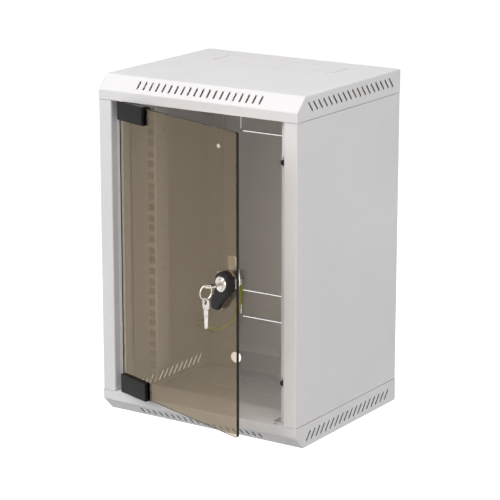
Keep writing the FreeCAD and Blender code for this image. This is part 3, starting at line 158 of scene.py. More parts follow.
route = bpy.data.curves.new("wire_route", "CURVE")
route.dimensions = "3D"
spline = route.splines.new("NURBS")
spline.points.add(len(WIRE_ROUTE) - 1)
for knot, place in zip(spline.points, WIRE_ROUTE):
    knot.co = (*place, 1)
spline.order_u = 3
spline.use_endpoint_u = True
spline.resolution_u = 10
route_holder = bpy.data.objects.new("wire_route", route)
bpy.context.collection.objects.link(route_holder)
route_line = bpy.data.meshes.new_from_object(route_holder)
wire_path = [vertex.co.copy() for vertex in route_line.vertices]
bpy.data.objects.remove(route_holder)
bpy.data.meshes.remove(route_line)


def link(name, mesh, material, body):
    """Puts a finished mesh in the scene, in its material, on the body it moves with."""
    piece = bpy.data.objects.new(name, mesh)
    bpy.context.collection.objects.link(piece)
    mesh.materials.append(material)
    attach(piece, body)
    return piece


def ring_edges(verts):
    """The edges that join the vertices of one ring."""
    ring = set(verts)
    return list({edge for vert in verts for edge in vert.link_edges
                 if all(end in ring for end in edge.verts)})


def next_ring(shape, verts):
    """Extrudes a ring, and gives the new ring in the order of the old one."""
    grown = bmesh.ops.extrude_edge_only(shape, edges=ring_edges(verts))["geom"]
    fresh = {item for item in grown if isinstance(item, bmesh.types.BMVert)}
    return [next(edge.other_vert(vert) for edge in vert.link_edges if edge.other_vert(vert) in fresh)
            for vert in verts]


def sheathed(name, path, thickness, sides):
    """A round sheath along a path, with u round it and v along it, and closed ends."""
    shape = bmesh.new()
    chart = shape.loops.layers.uv.new("along")
    rings = [list(bmesh.ops.create_circle(shape, segments=sides, radius=thickness / 2)["verts"])]
    while len(rings) < len(path):
        rings.append(next_ring(shape, rings[-1]))
    side = (path[1] - path[0]).orthogonal().normalized()
    for number, (around, point) in enumerate(zip(rings, path)):
        before = path[max(number - 1, 0)]
        after = path[min(number + 1, len(path) - 1)]
        ahead = (after - before).normalized()
        side = (side - ahead * side.dot(ahead)).normalized()
        other = ahead.cross(side)
        for step, vert in enumerate(around):
            angle = 2 * math.pi * step / sides
            vert.co = point + (side * math.cos(angle) + other * math.sin(angle)) * thickness / 2
    station = {vert: (step, number) for number, around in enumerate(rings)
               for step, vert in enumerate(around)}
    for face in shape.faces:
        steps = [station[vert][0] for vert in face.verts]
        wraps = max(steps) - min(steps) > 1
        for corner in face.loops:
            step, number = station[corner.vert]
            turn = 1 if wraps and step == 0 else step / sides
            corner[chart].uv = (turn, number / (len(path) - 1))
    bmesh.ops.contextual_create(shape, geom=rings[0])
    bmesh.ops.contextual_create(shape, geom=rings[-1])
    bmesh.ops.recalc_face_normals(shape, faces=shape.faces)
    for face in shape.faces:
        face.smooth = len(face.verts) == 4
    mesh = bpy.data.meshes.new(name)
    shape.to_mesh(mesh)
    shape.free()
    return mesh


def surface(name, colour, roughness, metallic=0.0, specular=0.5):
    """A finish to build on: its material, its shader and its node tree."""
    material = bpy.data.materials.new(name)
    material.use_nodes = True
    shader = material.node_tree.nodes["Principled BSDF"]
    shader.inputs["Base Color"].default_value = (*colour, 1)
    shader.inputs["Roughness"].default_value = roughness
    shader.inputs["Metallic"].default_value = metallic
    shader.inputs["Specular IOR Level"].default_value = specular
    return material, shader, material.node_tree


def clouds(tree, patches, detail=2.0, stretch=(1, 1, 1)):
    """A soft pattern, in patches to the metre, that lies still on the piece."""
    place = tree.nodes.new("ShaderNodeTexCoord")
    spread = tree.nodes.new("ShaderNodeMapping")
    spread.inputs["Scale"].default_value = stretch
    tree.links.new(place.outputs["Object"], spread.inputs["Vector"])
    pattern = tree.nodes.new("ShaderNodeTexNoise")
    pattern.inputs["Scale"].default_value = patches
    pattern.inputs["Detail"].default_value = detail
    tree.links.new(spread.outputs["Vector"], pattern.inputs["Vector"])
    return pattern.outputs["Fac"]


def between(tree, pattern, low, high, start=0.3, end=0.7):
    """A pattern's range between start and end, spread between two values."""
    spread = tree.nodes.new("ShaderNodeMapRange")
    spread.inputs["From Min"].default_value = start
    spread.inputs["From Max"].default_value = end
    spread.inputs["To Min"].default_value = low
    spread.inputs["To Max"].default_value = high
    tree.links.new(pattern, spread.inputs["Value"])
    return spread.outputs["Result"]


def tinted(tree, pattern, first, second, start=0.3, end=0.7):
    """Two shades that run into each other along a pattern."""
    shades = tree.nodes.new("ShaderNodeValToRGB")
    shades.color_ramp.elements[0].position = start
    shades.color_ramp.elements[0].color = (*first, 1)
    shades.color_ramp.elements[1].position = end
    shades.color_ramp.elements[1].color = (*second, 1)
    tree.links.new(pattern, shades.inputs["Fac"])
    return shades.outputs["Color"]


def mixed(tree, amount, first, second):
    """One colour over another, by an amount from a pattern."""
    mix = tree.nodes.new("ShaderNodeMix")
    mix.data_type = "RGBA"
    for socket, source in zip((mix.inputs[6], mix.inputs[7]), (first, second)):
        if isinstance(source, tuple):
            socket.default_value = (*source, 1)
        else:
            tree.links.new(source, socket)
    tree.links.new(amount, mix.inputs[0])
    return mix.outputs[2]


def relief(tree, shader, pattern, depth, strength=0.5):
    """Fine relief over whatever relief is there already, to a depth in metres."""
    bump = tree.nodes.new("ShaderNodeBump")
    bump.inputs["Strength"].default_value = strength
    bump.inputs["Distance"].default_value = depth
    tree.links.new(pattern, bump.inputs["Height"])
    if shader.inputs["Normal"].links:
        tree.links.new(shader.inputs["Normal"].links[0].from_socket, bump.inputs["Normal"])
    tree.links.new(bump.outputs["Normal"], shader.inputs["Normal"])


wire_pvc, wire_shader, wire_tree = surface("wire_pvc", (0.75, 0.72, 0.05), 0.35)
wire_chart = wire_tree.nodes.new("ShaderNodeUVMap")
wire_chart.uv_map = "along"
wire_axes = wire_tree.nodes.new("ShaderNodeSeparateXYZ")
wire_tree.links.new(wire_chart.outputs["UV"], wire_axes.inputs[0])
wire_twist = worked(wire_tree, "MULTIPLY_ADD", wire_axes.outputs["Y"], STRIPE_TURNS, wire_axes.outputs["X"])
wire_wrap = worked(wire_tree, "FRACT", worked(wire_tree, "MULTIPLY", wire_twist, 2))
wire_stripe = wire_tree.nodes.new("ShaderNodeValToRGB")
wire_stripe.color_ramp.interpolation = "CONSTANT"
wire_stripe.color_ramp.elements[0].color = (0.88, 0.86, 0.05, 1)
wire_stripe.color_ramp.elements[1].position = YELLOW_SHARE
wire_stripe.color_ramp.elements[1].color = (0.24, 0.52, 0.07, 1)
wire_tree.links.new(wire_wrap, wire_stripe.inputs["Fac"])
wire_dust = between(wire_tree, clouds(wire_tree, 160, 3), 0.0, 0.16)
wire_tree.links.new(mixed(wire_tree, wire_dust, wire_stripe.outputs["Color"], (0.52, 0.50, 0.38)),
                    wire_shader.inputs["Base Color"])
wire_tree.links.new(between(wire_tree, clouds(wire_tree, 400), 0.28, 0.46), wire_shader.inputs["Roughness"])
relief(wire_tree, wire_shader, clouds(wire_tree, 900), 0.00003)

earth_wire = link("earth_wire_sheath", sheathed("earth_wire_sheath", wire_path, WIRE_THICKNESS, WIRE_SIDES),
                  wire_pvc, "cabinet")
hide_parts("earth_wire")

# ---- Folded sheet steel ----
# Lid, base, side panels, rear panel, cross strips, rack rails and their brackets are 1.2 and
# 1.5 mm steel, cut and folded, and coated together in light grey powder with a fine orange peel.
# The cut walls of the vents are painted dark grey, a painted shade for the shadow that falls inside the
# slots.
VENT_WALL_PAINTED_SHADE = (0.15, 0.146, 0.143)
SLOPE_VENT_SHADE_ZONE = ((0, 0.108), (-0.2505, 0.0075), (0.2233, 0.0095), (1, 0.25))
SIDE_VENT_SHADE_ZONE = ((0.1544, 0.0009), (-0.1278, 0.1095), (0.2177, 0.0085), (0, 0.3))
coat, coat_shader, coat_tree = surface("powder_coat", (0.74, 0.728, 0.722), 0.5, specular=0.35)
coat_shade = tinted(coat_tree, clouds(coat_tree, 9, 3), (0.735, 0.722, 0.722), (0.765, 0.752, 0.752))
coat_dust = between(coat_tree, clouds(coat_tree, 60, 5), 0.0, 0.10, 0.5, 0.8)
coat_speck = between(coat_tree, clouds(coat_tree, 900, 1), 0.0, 0.30, 0.70, 0.78)
coat_shade = mixed(coat_tree, coat_dust, coat_shade, (0.62, 0.60, 0.57))
coat_shade = mixed(coat_tree, coat_speck, coat_shade, (0.50, 0.49, 0.47))

# Each zone of painted vent shade has a middle and a reach in x, y, z and in how far its walls face sideways.
vent_frame = coat_tree.nodes.new("ShaderNodeTexCoord")
vent_place = coat_tree.nodes.new("ShaderNodeSeparateXYZ")
vent_facing = coat_tree.nodes.new("ShaderNodeSeparateXYZ")
coat_tree.links.new(vent_frame.outputs["Object"], vent_place.inputs[0])
coat_tree.links.new(vent_frame.outputs["Normal"], vent_facing.inputs[0])
vent_shade_measures = (worked(coat_tree, "ABSOLUTE", vent_place.outputs["X"]), vent_place.outputs["Y"],
                 worked(coat_tree, "ABSOLUTE", vent_place.outputs["Z"]),
                 worked(coat_tree, "ABSOLUTE", vent_facing.outputs["X"]))
# Painted shade: in each zone the base colour turns dark grey on the walls of the vents.
for zone in (SLOPE_VENT_SHADE_ZONE, SIDE_VENT_SHADE_ZONE):
    vent_shade_mask = 1.0
    for measure, (middle, reach) in zip(vent_shade_measures, zone):
        vent_shade_mask = worked(coat_tree, "MULTIPLY", vent_shade_mask, worked(coat_tree, "COMPARE", measure, middle, reach))
    coat_shade = mixed(coat_tree, vent_shade_mask, coat_shade, VENT_WALL_PAINTED_SHADE)
coat_tree.links.new(coat_shade, coat_shader.inputs["Base Color"])
coat_tree.links.new(between(coat_tree, clouds(coat_tree, 35, 4), 0.54, 0.68), coat_shader.inputs["Roughness"])
relief(coat_tree, coat_shader, clouds(coat_tree, 700, 2), 0.00006)
relief(coat_tree, coat_shader, clouds(coat_tree, 2600, 1), 0.00002)


def finish_nodes(material, *names):
    """Gives CAD nodes their finish."""
    for name in names:
        mesh = nodes[name].data
        mesh.materials.clear()
        mesh.materials.append(material)


finish_nodes(coat, "lid", "base_tray", "side_panel_left", "side_panel_right", "rear_panel",
             "rear_strip_top", "rear_strip_bottom", "rail_left", "rail_right",
             "rail_bracket_top_left", "rail_bracket_top_right",
             "rail_bracket_bottom_left", "rail_bracket_bottom_right")

# ---- Small screws ----
# Pan-head machine screws of zinc-plated steel with a cross recess. They hold the rails, the trays
# and the rear panel, clamp the pane in its hinges and hold the cam on the lock's shaft.
zinc, zinc_shader, zinc_tree = surface("zinc_plate", (0.72, 0.71, 0.68), 0.32, metallic=1.0)
zinc_bloom = tinted(zinc_tree, clouds(zinc_tree, 120, 3), (0.60, 0.60, 0.60), (0.74, 0.73, 0.69))
zinc_dull = between(zinc_tree, clouds(zinc_tree, 500, 4), 0.0, 0.45, 0.52, 0.72)
zinc_tree.links.new(mixed(zinc_tree, zinc_dull, zinc_bloom, (0.50, 0.48, 0.44)),
                    zinc_shader.inputs["Base Color"])
zinc_tree.links.new(between(zinc_tree, clouds(zinc_tree, 300, 4), 0.22, 0.46),
                    zinc_shader.inputs["Roughness"])
relief(zinc_tree, zinc_shader, clouds(zinc_tree, 1800, 2), 0.00002)

DOOR_SWING = math.radians(-19)
HINGE_PIN = Vector((-0.1195, -0.2537, 0))
door_place = Matrix.Translation(HINGE_PIN) @ Matrix.Rotation(DOOR_SWING, 4, "Z")
inwards = door_place.to_3x3() @ Vector((0, 1, 0))
HEAD_CROWN = ((1, 0.42), (0.94, 0.3), (0.82, 0.2), (0.7, 0.08))
RECESS_REACH = 0.56
RECESS_ARM = 0.17
RECESS_DEPTH = 0.62
RECESS_TAPER = 0.55
SCREW_SIDES = 24
POINT_LENGTH = 0.3
POINT_WIDTH = 0.7
SAME_LEVEL = 1e-5
NEAR_AXIS = 0.2
NEAR_RIM = 0.95
CREASE = math.radians(30)


def finished_mesh(name, shape):
    """The mesh of a shape: smooth where it curves, with a clean break at its edges."""
    shape.normal_update()
    for face in shape.faces:
        face.smooth = True
    for edge in shape.edges:
        if not edge.is_manifold or edge.calc_face_angle() > CREASE:
            edge.smooth = False
    mesh = bpy.data.meshes.new(name)
    shape.to_mesh(mesh)
    shape.free()
    return mesh


def merged(name):
    """A copy of a CAD node with its loose triangles joined into closed solids."""
    shape = bmesh.new()
    shape.from_mesh(nodes[name].data)
    bmesh.ops.remove_doubles(shape, verts=shape.verts, dist=1e-6)
    return shape


def loose_parts(name):
    """The points of each separate solid in a CAD node."""
    shape = merged(name)
    waiting = set(shape.verts)
    parts = []
    while waiting:
        found = {waiting.pop()}
        search = list(found)
        while search:
            for edge in search.pop().link_edges:
                for vert in edge.verts:
                    if vert not in found:
                        found.add(vert)
                        search.append(vert)
        waiting -= found
        parts.append([vert.co.copy() for vert in found])
    shape.free()
    return parts


def scaled_ring(shape, verts, scale, lift):
    """Extrudes a ring, scales it about the Z axis and lifts it; gives the new ring."""
    fresh = next_ring(shape, verts)
    bmesh.ops.scale(shape, vec=(scale, scale, 1), verts=fresh)
    bmesh.ops.translate(shape, vec=(0, 0, lift), verts=fresh)
    return fresh


def add_screw(shape, part, axis):
    """A pan-head screw with a cross recess, in place of the plain one; its head lies towards axis."""
    heights = [point.dot(axis) for point in part]
    top, tip = max(heights), min(heights)
    crown = [point for point, height in zip(part, heights) if height > top - SAME_LEVEL]
    middle = sum(crown, Vector()) / len(crown)
    widths = [((point - middle) - axis * (point - middle).dot(axis)).length for point in part]
    head_radius = max(widths)
    shank_radius = min(width for width in widths if width > head_radius * NEAR_AXIS)
    seat = min(height for width, height in zip(widths, heights) if width > head_radius * NEAR_RIM)
    head_height = top - seat
    rim = bmesh.ops.create_circle(shape, segments=SCREW_SIDES, radius=head_radius)["verts"]
    verts = list(rim)
    edge_of_crown = rim
    for scale, lift in HEAD_CROWN:
        edge_of_crown = scaled_ring(shape, edge_of_crown, scale, lift * head_height)
        verts += edge_of_crown
    reach = head_radius * RECESS_REACH
    arm = head_radius * RECESS_ARM
    quarter = [Vector((reach, -arm, 0)), Vector((reach, arm, 0)), Vector((arm, arm, 0))]
    mouth = []
    for turn in range(4):
        for corner in quarter:
            mouth.append(shape.verts.new(Matrix.Rotation(math.pi / 2 * turn, 3, "Z") @ corner))
    bmesh.ops.translate(shape, vec=(0, 0, head_height), verts=mouth)
    mouth_edges = [shape.edges.new((vert, mouth[(number + 1) % len(mouth)]))
                   for number, vert in enumerate(mouth)]
    bmesh.ops.bridge_loops(shape, edges=ring_edges(edge_of_crown) + mouth_edges)
    recess = scaled_ring(shape, mouth, RECESS_TAPER, -RECESS_DEPTH * head_height)
    bmesh.ops.contextual_create(shape, geom=ring_edges(recess))
    neck = scaled_ring(shape, rim, shank_radius / head_radius, 0)
    shoulder = scaled_ring(shape, neck, 1, tip - seat + shank_radius * POINT_LENGTH)
    end = scaled_ring(shape, shoulder, POINT_WIDTH, -shank_radius * POINT_LENGTH)
    bmesh.ops.contextual_create(shape, geom=ring_edges(end))
    verts += mouth + recess + neck + shoulder + end
    at = axis.to_track_quat("Z", "Y").to_matrix().to_4x4()
    at.translation = middle + axis * (seat - top)
    bmesh.ops.transform(shape, matrix=at, verts=verts)


def drive_screws(name, body, axis_at):
    """Every screw of a CAD node, as one piece that stands for the node."""
    shape = bmesh.new()
    for part in loose_parts(name):
        add_screw(shape, part, axis_at(sum(part, Vector()) / len(part)))
    bmesh.ops.recalc_face_normals(shape, faces=shape.faces)
    piece = link(f"{name}_cross", finished_mesh(f"{name}_cross", shape), zinc, body)
    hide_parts(name)


drive_screws("rail_screws", "cabinet", lambda middle: Vector((-math.copysign(1, middle.x), 0, 0)))
drive_screws("tray_screws", "cabinet", lambda middle: Vector((0, 0, math.copysign(1, middle.z))))
drive_screws("rear_panel_screws", "cabinet", lambda middle: Vector((0, -1, 0)))
drive_screws("hinge_clamp_screws", "door", lambda middle: inwards)
drive_screws("cam_screw", "handle", lambda middle: inwards)

# ---- Earth studs and their nuts ----
# M5 studs welded to the rear panel and to the left side panel. On each one a hexagon nut makes the
# contact with the sheet, and a second one holds the ring lug.
STUD_THREAD = 0.0025
STUD_PITCH = 0.0008
STUD_REACH = 0.0095
THREAD_START = 0.0004
THREAD_ROOT = 0.86
STUD_TIP = 0.8
NUT_BORE = 0.9
NUT_SLOPE = 0.6
NUT_FLATS = 0.008
NUT_BASE = 0.003
NUT_TOP = 0.0036
LUG_SHEET = 0.0008
rear_stud = Matrix.Translation((-0.096, -0.0012, -0.086)) @ Matrix.Rotation(math.pi, 4, "Z")
side_stud = Matrix.Translation((-0.1534, -0.032, -0.160)) @ Matrix.Rotation(-math.pi / 2, 4, "Z")


def turned(shape, profile, steps=48, loop=False):
    """Spins a profile of (radius, distance along Y) about the Y axis."""
    verts = [shape.verts.new((radius, along, 0)) for radius, along in profile]
    pairs = list(zip(verts, verts[1:])) + ([(verts[-1], verts[0])] if loop else [])
    edges = [shape.edges.new(pair) for pair in pairs]
    bmesh.ops.spin(shape, geom=verts + edges, cent=(0, 0, 0), axis=(0, 1, 0), angle=2 * math.pi,
                   steps=steps, use_merge=True)
    bmesh.ops.remove_doubles(shape, verts=shape.verts, dist=1e-7)


def hexagon_nut(shape, flats, thickness, bore, start):
    """A hexagon nut along Y with its corners chamfered on both faces."""
    nut = bmesh.new()
    corner = flats / math.sqrt(3)
    slope = (corner - flats / 2) * NUT_SLOPE
    bmesh.ops.create_circle(nut, segments=6, radius=corner)
    bmesh.ops.subdivide_edges(nut, edges=nut.edges[:], cuts=3)
    first = nut.verts[:]
    bmesh.ops.translate(nut, vec=(0, 0, slope), verts=first)
    last = next_ring(nut, first)
    bmesh.ops.translate(nut, vec=(0, 0, thickness - 2 * slope), verts=last)
    for around, level in ((first, 0), (last, thickness)):
        chamfer = next_ring(nut, around)
        for vert in chamfer:
            inner = min(1, flats / 2 / vert.co.xy.length)
            vert.co = (vert.co.x * inner, vert.co.y * inner, level)
        eye = bmesh.ops.create_circle(nut, segments=24, radius=bore)["verts"]
        bmesh.ops.translate(nut, vec=(0, 0, level), verts=eye)
        bmesh.ops.bridge_loops(nut, edges=ring_edges(chamfer) + ring_edges(eye))
    bmesh.ops.bridge_loops(nut, edges=[edge for edge in nut.edges if edge.is_boundary])
    upright = Matrix.Translation((0, start, 0)) @ Matrix.Rotation(-math.pi / 2, 4, "X")
    bmesh.ops.transform(nut, matrix=upright, verts=nut.verts)
    nut_mesh = bpy.data.meshes.new("nut")
    nut.to_mesh(nut_mesh)
    nut.free()
    shape.from_mesh(nut_mesh)
    bpy.data.meshes.remove(nut_mesh)


stud_shape = bmesh.new()
for stud_place in (rear_stud, side_stud):
    one_stud = bmesh.new()
    thread = [(0, 0), (STUD_THREAD, 0)]
    height = THREAD_START
    while height < STUD_REACH - 2 * STUD_PITCH:
        thread += [(STUD_THREAD, height), (STUD_THREAD * THREAD_ROOT, height + STUD_PITCH / 2)]
        height += STUD_PITCH
    thread += [(STUD_THREAD, height), (STUD_THREAD * STUD_TIP, STUD_REACH), (0, STUD_REACH)]
    turned(one_stud, thread, 24)
    hexagon_nut(one_stud, NUT_FLATS, NUT_BASE, STUD_THREAD * NUT_BORE, 0)
    hexagon_nut(one_stud, NUT_FLATS, NUT_TOP, STUD_THREAD * NUT_BORE, NUT_BASE + LUG_SHEET)
    bmesh.ops.recalc_face_normals(one_stud, faces=one_stud.faces)
    bmesh.ops.transform(one_stud, matrix=stud_place, verts=one_stud.verts)
    stud_mesh = finished_mesh("one_stud", one_stud)
    stud_shape.from_mesh(stud_mesh)
    bpy.data.meshes.remove(stud_mesh)
studs = link("earth_stud_threads", finished_mesh("earth_stud_threads", stud_shape), zinc,
             "cabinet")
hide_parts("earth_studs")

# ---- Hinge pins ----
# Two turned steel pins, zinc plated, one above and one below the door. Each is pressed into its
# hinge clamp and runs into a tray, and its thrust collar keeps the two apart.
finish_nodes(zinc, "hinge_pin_top", "hinge_pin_bottom")

# ---- Cable lugs ----
# Ring lugs of tinned copper tube, one at each end of the earth wire. Each is flattened and
# punched at the eye, and its barrel is crimped on the wire.
tin, tin_shader, tin_tree = surface("tin_plate", (0.70, 0.68, 0.64), 0.38, metallic=1.0)
tin_tree.links.new(tinted(tin_tree, clouds(tin_tree, 250, 3), (0.58, 0.56, 0.52), (0.76, 0.74, 0.70)),
                   tin_shader.inputs["Base Color"])
tin_tree.links.new(between(tin_tree, clouds(tin_tree, 600, 3), 0.30, 0.50), tin_shader.inputs["Roughness"])
relief(tin_tree, tin_shader, clouds(tin_tree, 1500, 2), 0.00003)
LUG_EYE = 0.005
LUG_PLAY = 0.00005
LUG_BARREL = 0.0029
LUG_WALL = 0.72
LUG_ROOT = 0.009
LUG_BEND = math.radians(75)
LUG_TURN = math.radians(-82)
LUG_FLAT = ((LUG_EYE * 0.72, LUG_EYE * 0.5), (LUG_ROOT * 0.72, LUG_EYE * 0.52))
FLAT_SHARE = 0.98
LUG_CRIMP = ((0, 1.0, 0.86), (0.0006, 1.0, 1.0), (0.0022, 1.0, 1.0), (0.0030, 1.0, 0.74),
             (0.0048, 1.0, 0.74), (0.0056, 1.0, 1.0), (0.0074, 1.0, 1.0), (0.0080, 0.97, 0.97))
lug_on = Matrix.Translation((0, NUT_BASE, 0))
rear_lug = rear_stud @ lug_on
side_lug = side_stud @ lug_on @ Matrix.Rotation(LUG_TURN, 4, "Y")


def spread_ring(ring, at, wide, deep, along):
    """Lays a ring out as an oval round the Z axis, at a distance down it."""
    for step, vert in enumerate(ring):
        angle = 2 * math.pi * step / len(ring)
        vert.co = at @ Vector((-math.sin(angle) * wide, math.cos(angle) * deep, -along))


def ring_lug(name, at, bend):
    """A lug with its eye on a stud, its flattened root, and its crimped barrel bent off the sheet."""
    shape = bmesh.new()
    eye = bmesh.ops.create_circle(shape, segments=40, radius=LUG_EYE)["verts"]
    hole = bmesh.ops.create_circle(shape, segments=28, radius=STUD_THREAD + LUG_PLAY)["verts"]
    sheet = bmesh.ops.bridge_loops(shape, edges=ring_edges(eye) + ring_edges(hole))["faces"]
    grown = bmesh.ops.extrude_face_region(shape, geom=sheet, use_keep_orig=True)["geom"]
    raised = [item for item in grown if isinstance(item, bmesh.types.BMVert)]
    bmesh.ops.translate(shape, vec=(0, 0, LUG_SHEET), verts=raised)
    bmesh.ops.transform(shape, matrix=Matrix.Rotation(-math.pi / 2, 4, "X"), verts=shape.verts)
    half = LUG_SHEET / 2
    root = Matrix.Translation((0, LUG_BARREL, -LUG_ROOT)) @ Matrix.Rotation(bend, 4, "X")
    ring = bmesh.ops.create_circle(shape, segments=24, radius=1)["verts"]
    first = ring
    for back, wide in LUG_FLAT:
        for vert in ring:
            vert.co = (vert.co.x * wide, half + vert.co.y * half * FLAT_SHARE, -back)
        ring = next_ring(shape, ring)
        spread_ring(ring, Matrix(), 1, 1, 0)
    for along, wide, deep in LUG_CRIMP:
        spread_ring(ring, root, LUG_BARREL * wide, LUG_BARREL * deep, along)
        ring = next_ring(shape, ring)
    mouth = ring
    spread_ring(mouth, root, LUG_BARREL * LUG_WALL, LUG_BARREL * LUG_WALL, along)
    bmesh.ops.contextual_create(shape, geom=ring_edges(first))
    bmesh.ops.contextual_create(shape, geom=ring_edges(mouth))
    bmesh.ops.recalc_face_normals(shape, faces=shape.faces)
    bmesh.ops.transform(shape, matrix=at, verts=shape.verts)
    piece = link(f"{name}_crimped", finished_mesh(f"{name}_crimped", shape), tin, "cabinet")
    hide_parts(name)


ring_lug("cable_lug_rear", rear_lug, 0)
ring_lug("cable_lug_side", side_lug, LUG_BEND)

# ---- Door bumpers ----
# Two domed buttons moulded in black rubber. Their necks are pressed into slots of the right-hand
# door stop, and the pane closes against them.
rubber, rubber_shader, rubber_tree = surface("rubber", (0.012, 0.012, 0.012), 0.55, specular=0.2)
rubber_tree.links.new(tinted(rubber_tree, clouds(rubber_tree, 450, 4), (0.007, 0.007, 0.007),
                             (0.018, 0.017, 0.017)), rubber_shader.inputs["Base Color"])
rubber_tree.links.new(between(rubber_tree, clouds(rubber_tree, 900, 3), 0.42, 0.66),
                      rubber_shader.inputs["Roughness"])
relief(rubber_tree, rubber_shader, clouds(rubber_tree, 2200, 2), 0.00005)
finish_nodes(rubber, "door_bumper_upper", "door_bumper_lower")

# ---- Door pane ----
# One sheet of bronze-grey tempered glass, 4 mm thick, coloured through, with ground edges and
# drilled holes. The furnace rollers leave it very slightly wavy.
glass = bpy.data.materials.new("smoked_glass")
glass.use_nodes = True
glass_tree = glass.node_tree
glass_shader = glass_tree.nodes["Principled BSDF"]
glass_shader.inputs["Base Color"].default_value = (1, 1, 1, 1)
glass_shader.inputs["Transmission Weight"].default_value = 1.0
glass_shader.inputs["IOR"].default_value = 1.5
glass_shader.inputs["Specular IOR Level"].default_value = 0.25
glass_shader.inputs["Specular Tint"].default_value = (1.0, 0.8, 0.42, 1)
glass_tree.links.new(between(glass_tree, clouds(glass_tree, 14, 4), 0.0, 0.012, 0.5, 0.75),
                     glass_shader.inputs["Roughness"])
relief(glass_tree, glass_shader, clouds(glass_tree, 12, 1, (1, 1, 2.5)), 0.00002, 0.3)
glass_depth = glass_tree.nodes.new("ShaderNodeVolumeAbsorption")
glass_depth.inputs["Color"].default_value = (0.44, 0.295, 0.08, 1)
glass_depth.inputs["Density"].default_value = 215
glass_tree.links.new(glass_depth.outputs["Volume"], glass_tree.nodes["Material Output"].inputs["Volume"])
GROUND_EDGE = 0.0003
SHARP_EDGE = 40
ONE_PLANE = math.radians(1)
FACE_ON = 0.97


def soften_edges(shape, width, sharpest):
    """Rolls over every edge of a shape that is sharper than an angle."""
    sharp = [edge for edge in shape.edges
             if edge.is_manifold and edge.calc_face_angle() > math.radians(sharpest)]
    rolled = bmesh.ops.bevel(shape, geom=sharp, offset=width, offset_type="OFFSET", segments=2,
                             profile=0.5, affect="EDGES", clamp_overlap=True, material=-1)["faces"]
    rolled = set(rolled)
    for edge in shape.edges:
        if len({face in rolled for face in edge.link_faces}) > 1:
            edge.smooth = False


def eased(name, new_name, width, material, body):
    """A CAD node whose edges are eased, as grinding, tumbling or a mould does."""
    shape = merged(name)
    bmesh.ops.dissolve_limit(shape, angle_limit=ONE_PLANE, verts=shape.verts, edges=shape.edges)
    soften_edges(shape, width, SHARP_EDGE)
    piece = link(new_name, finished_mesh(new_name, shape), material, body)
    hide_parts(name)
    return piece


pane = eased("glass_pane", "glass_pane_ground", GROUND_EDGE, glass, "door")
# Painted shade: the ground edges and the walls of the drilled holes get an opaque, near-black colour. It
# stands in for the darkness of the long light path through the tinted glass, and only their matte grinding is
# real.
edge_painted_dark, edge_dark_shader, edge_dark_tree = surface("ground_glass_edge_painted_shade", (0.020, 0.017, 0.013), 0.5,
                                                  specular=0.12)
edge_dark_tree.links.new(tinted(edge_dark_tree, clouds(edge_dark_tree, 300, 4), (0.006, 0.005, 0.004),
                             (0.022, 0.018, 0.014)), edge_dark_shader.inputs["Base Color"])
edge_dark_tree.links.new(between(edge_dark_tree, clouds(edge_dark_tree, 700, 3), 0.42, 0.62),
                      edge_dark_shader.inputs["Roughness"])
relief(edge_dark_tree, edge_dark_shader, clouds(edge_dark_tree, 2000, 2), 0.00004)
pane.data.materials.append(edge_painted_dark)
for face in pane.data.polygons:
    if abs(face.normal.dot(inwards)) < FACE_ON:
        face.material_index = 1

# ---- Hinge clamps, lock foot and handle ----
# Moulded in black polyamide with a fine spark-eroded grain: two halves of a clamp at the top and
# the bottom of the hinge edge, the foot of the lock with its threaded sleeve, the swing handle.
polyamide, polyamide_shader, polyamide_tree = surface("polyamide", (0.013, 0.011, 0.012), 0.36, specular=0.12)
polyamide_shade = tinted(polyamide_tree, clouds(polyamide_tree, 80, 3), (0.010, 0.009, 0.009),
                         (0.016, 0.014, 0.014))
polyamide_rub = between(polyamide_tree, clouds(polyamide_tree, 260, 5), 0.0, 0.5, 0.60, 0.78)
polyamide_tree.links.new(mixed(polyamide_tree, polyamide_rub, polyamide_shade, (0.050, 0.046, 0.043)),
                         polyamide_shader.inputs["Base Color"])
polyamide_tree.links.new(between(polyamide_tree, clouds(polyamide_tree, 200, 4), 0.26, 0.42),
                         polyamide_shader.inputs["Roughness"])
relief(polyamide_tree, polyamide_shader, clouds(polyamide_tree, 2400, 2), 0.00003)
CLAMP_EDGE = 0.0004
HANDLE_EDGE = 0.0003
for clamp in ("hinge_clamp_top_front", "hinge_clamp_top_rear",
              "hinge_clamp_bottom_front", "hinge_clamp_bottom_rear"):
    eased(clamp, f"{clamp}_moulded", CLAMP_EDGE, polyamide, "door")
eased("lock_handle", "lock_handle_moulded", HANDLE_EDGE, polyamide, "handle")

LOCK_ON_DOOR = (0.2303, -0.002, 0.0035)
FOOT = 0.0155
SLEEVE = 0.009
SLEEVE_ROOT = 0.0085
SLEEVE_START = 0.0045
SLEEVE_END = 0.0102
SLEEVE_PITCH = 0.001
SHAFT_BORE = 0.00605
lock_place = door_place @ Matrix.Translation(LOCK_ON_DOOR)


def lathed(name, profile, material, body, steps=64, loop=False):
    """A turned piece on the axis of the lock, from its profile."""
    shape = bmesh.new()
    turned(shape, profile, steps, loop)
    bmesh.ops.recalc_face_normals(shape, faces=shape.faces)
    bmesh.ops.transform(shape, matrix=lock_place, verts=shape.verts)
    return link(name, finished_mesh(name, shape), material, body)


foot_profile = [(SHAFT_BORE, -0.003), (FOOT - 0.0008, -0.003), (FOOT - 0.0002, -0.0027), (FOOT, -0.0021),
                (FOOT, -0.0003), (FOOT - 0.0003, 0), (SLEEVE, 0), (SLEEVE, 0.0042)]
sleeve_height = SLEEVE_START
while sleeve_height < SLEEVE_END - SLEEVE_PITCH:
    foot_profile += [(SLEEVE, sleeve_height), (SLEEVE_ROOT, sleeve_height + SLEEVE_PITCH / 2)]
    sleeve_height += SLEEVE_PITCH
foot_profile += [(SLEEVE_ROOT, SLEEVE_END), (SHAFT_BORE, SLEEVE_END)]
lock_foot = lathed("lock_foot", foot_profile, polyamide, "door", loop=True)
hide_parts("lock_housing")

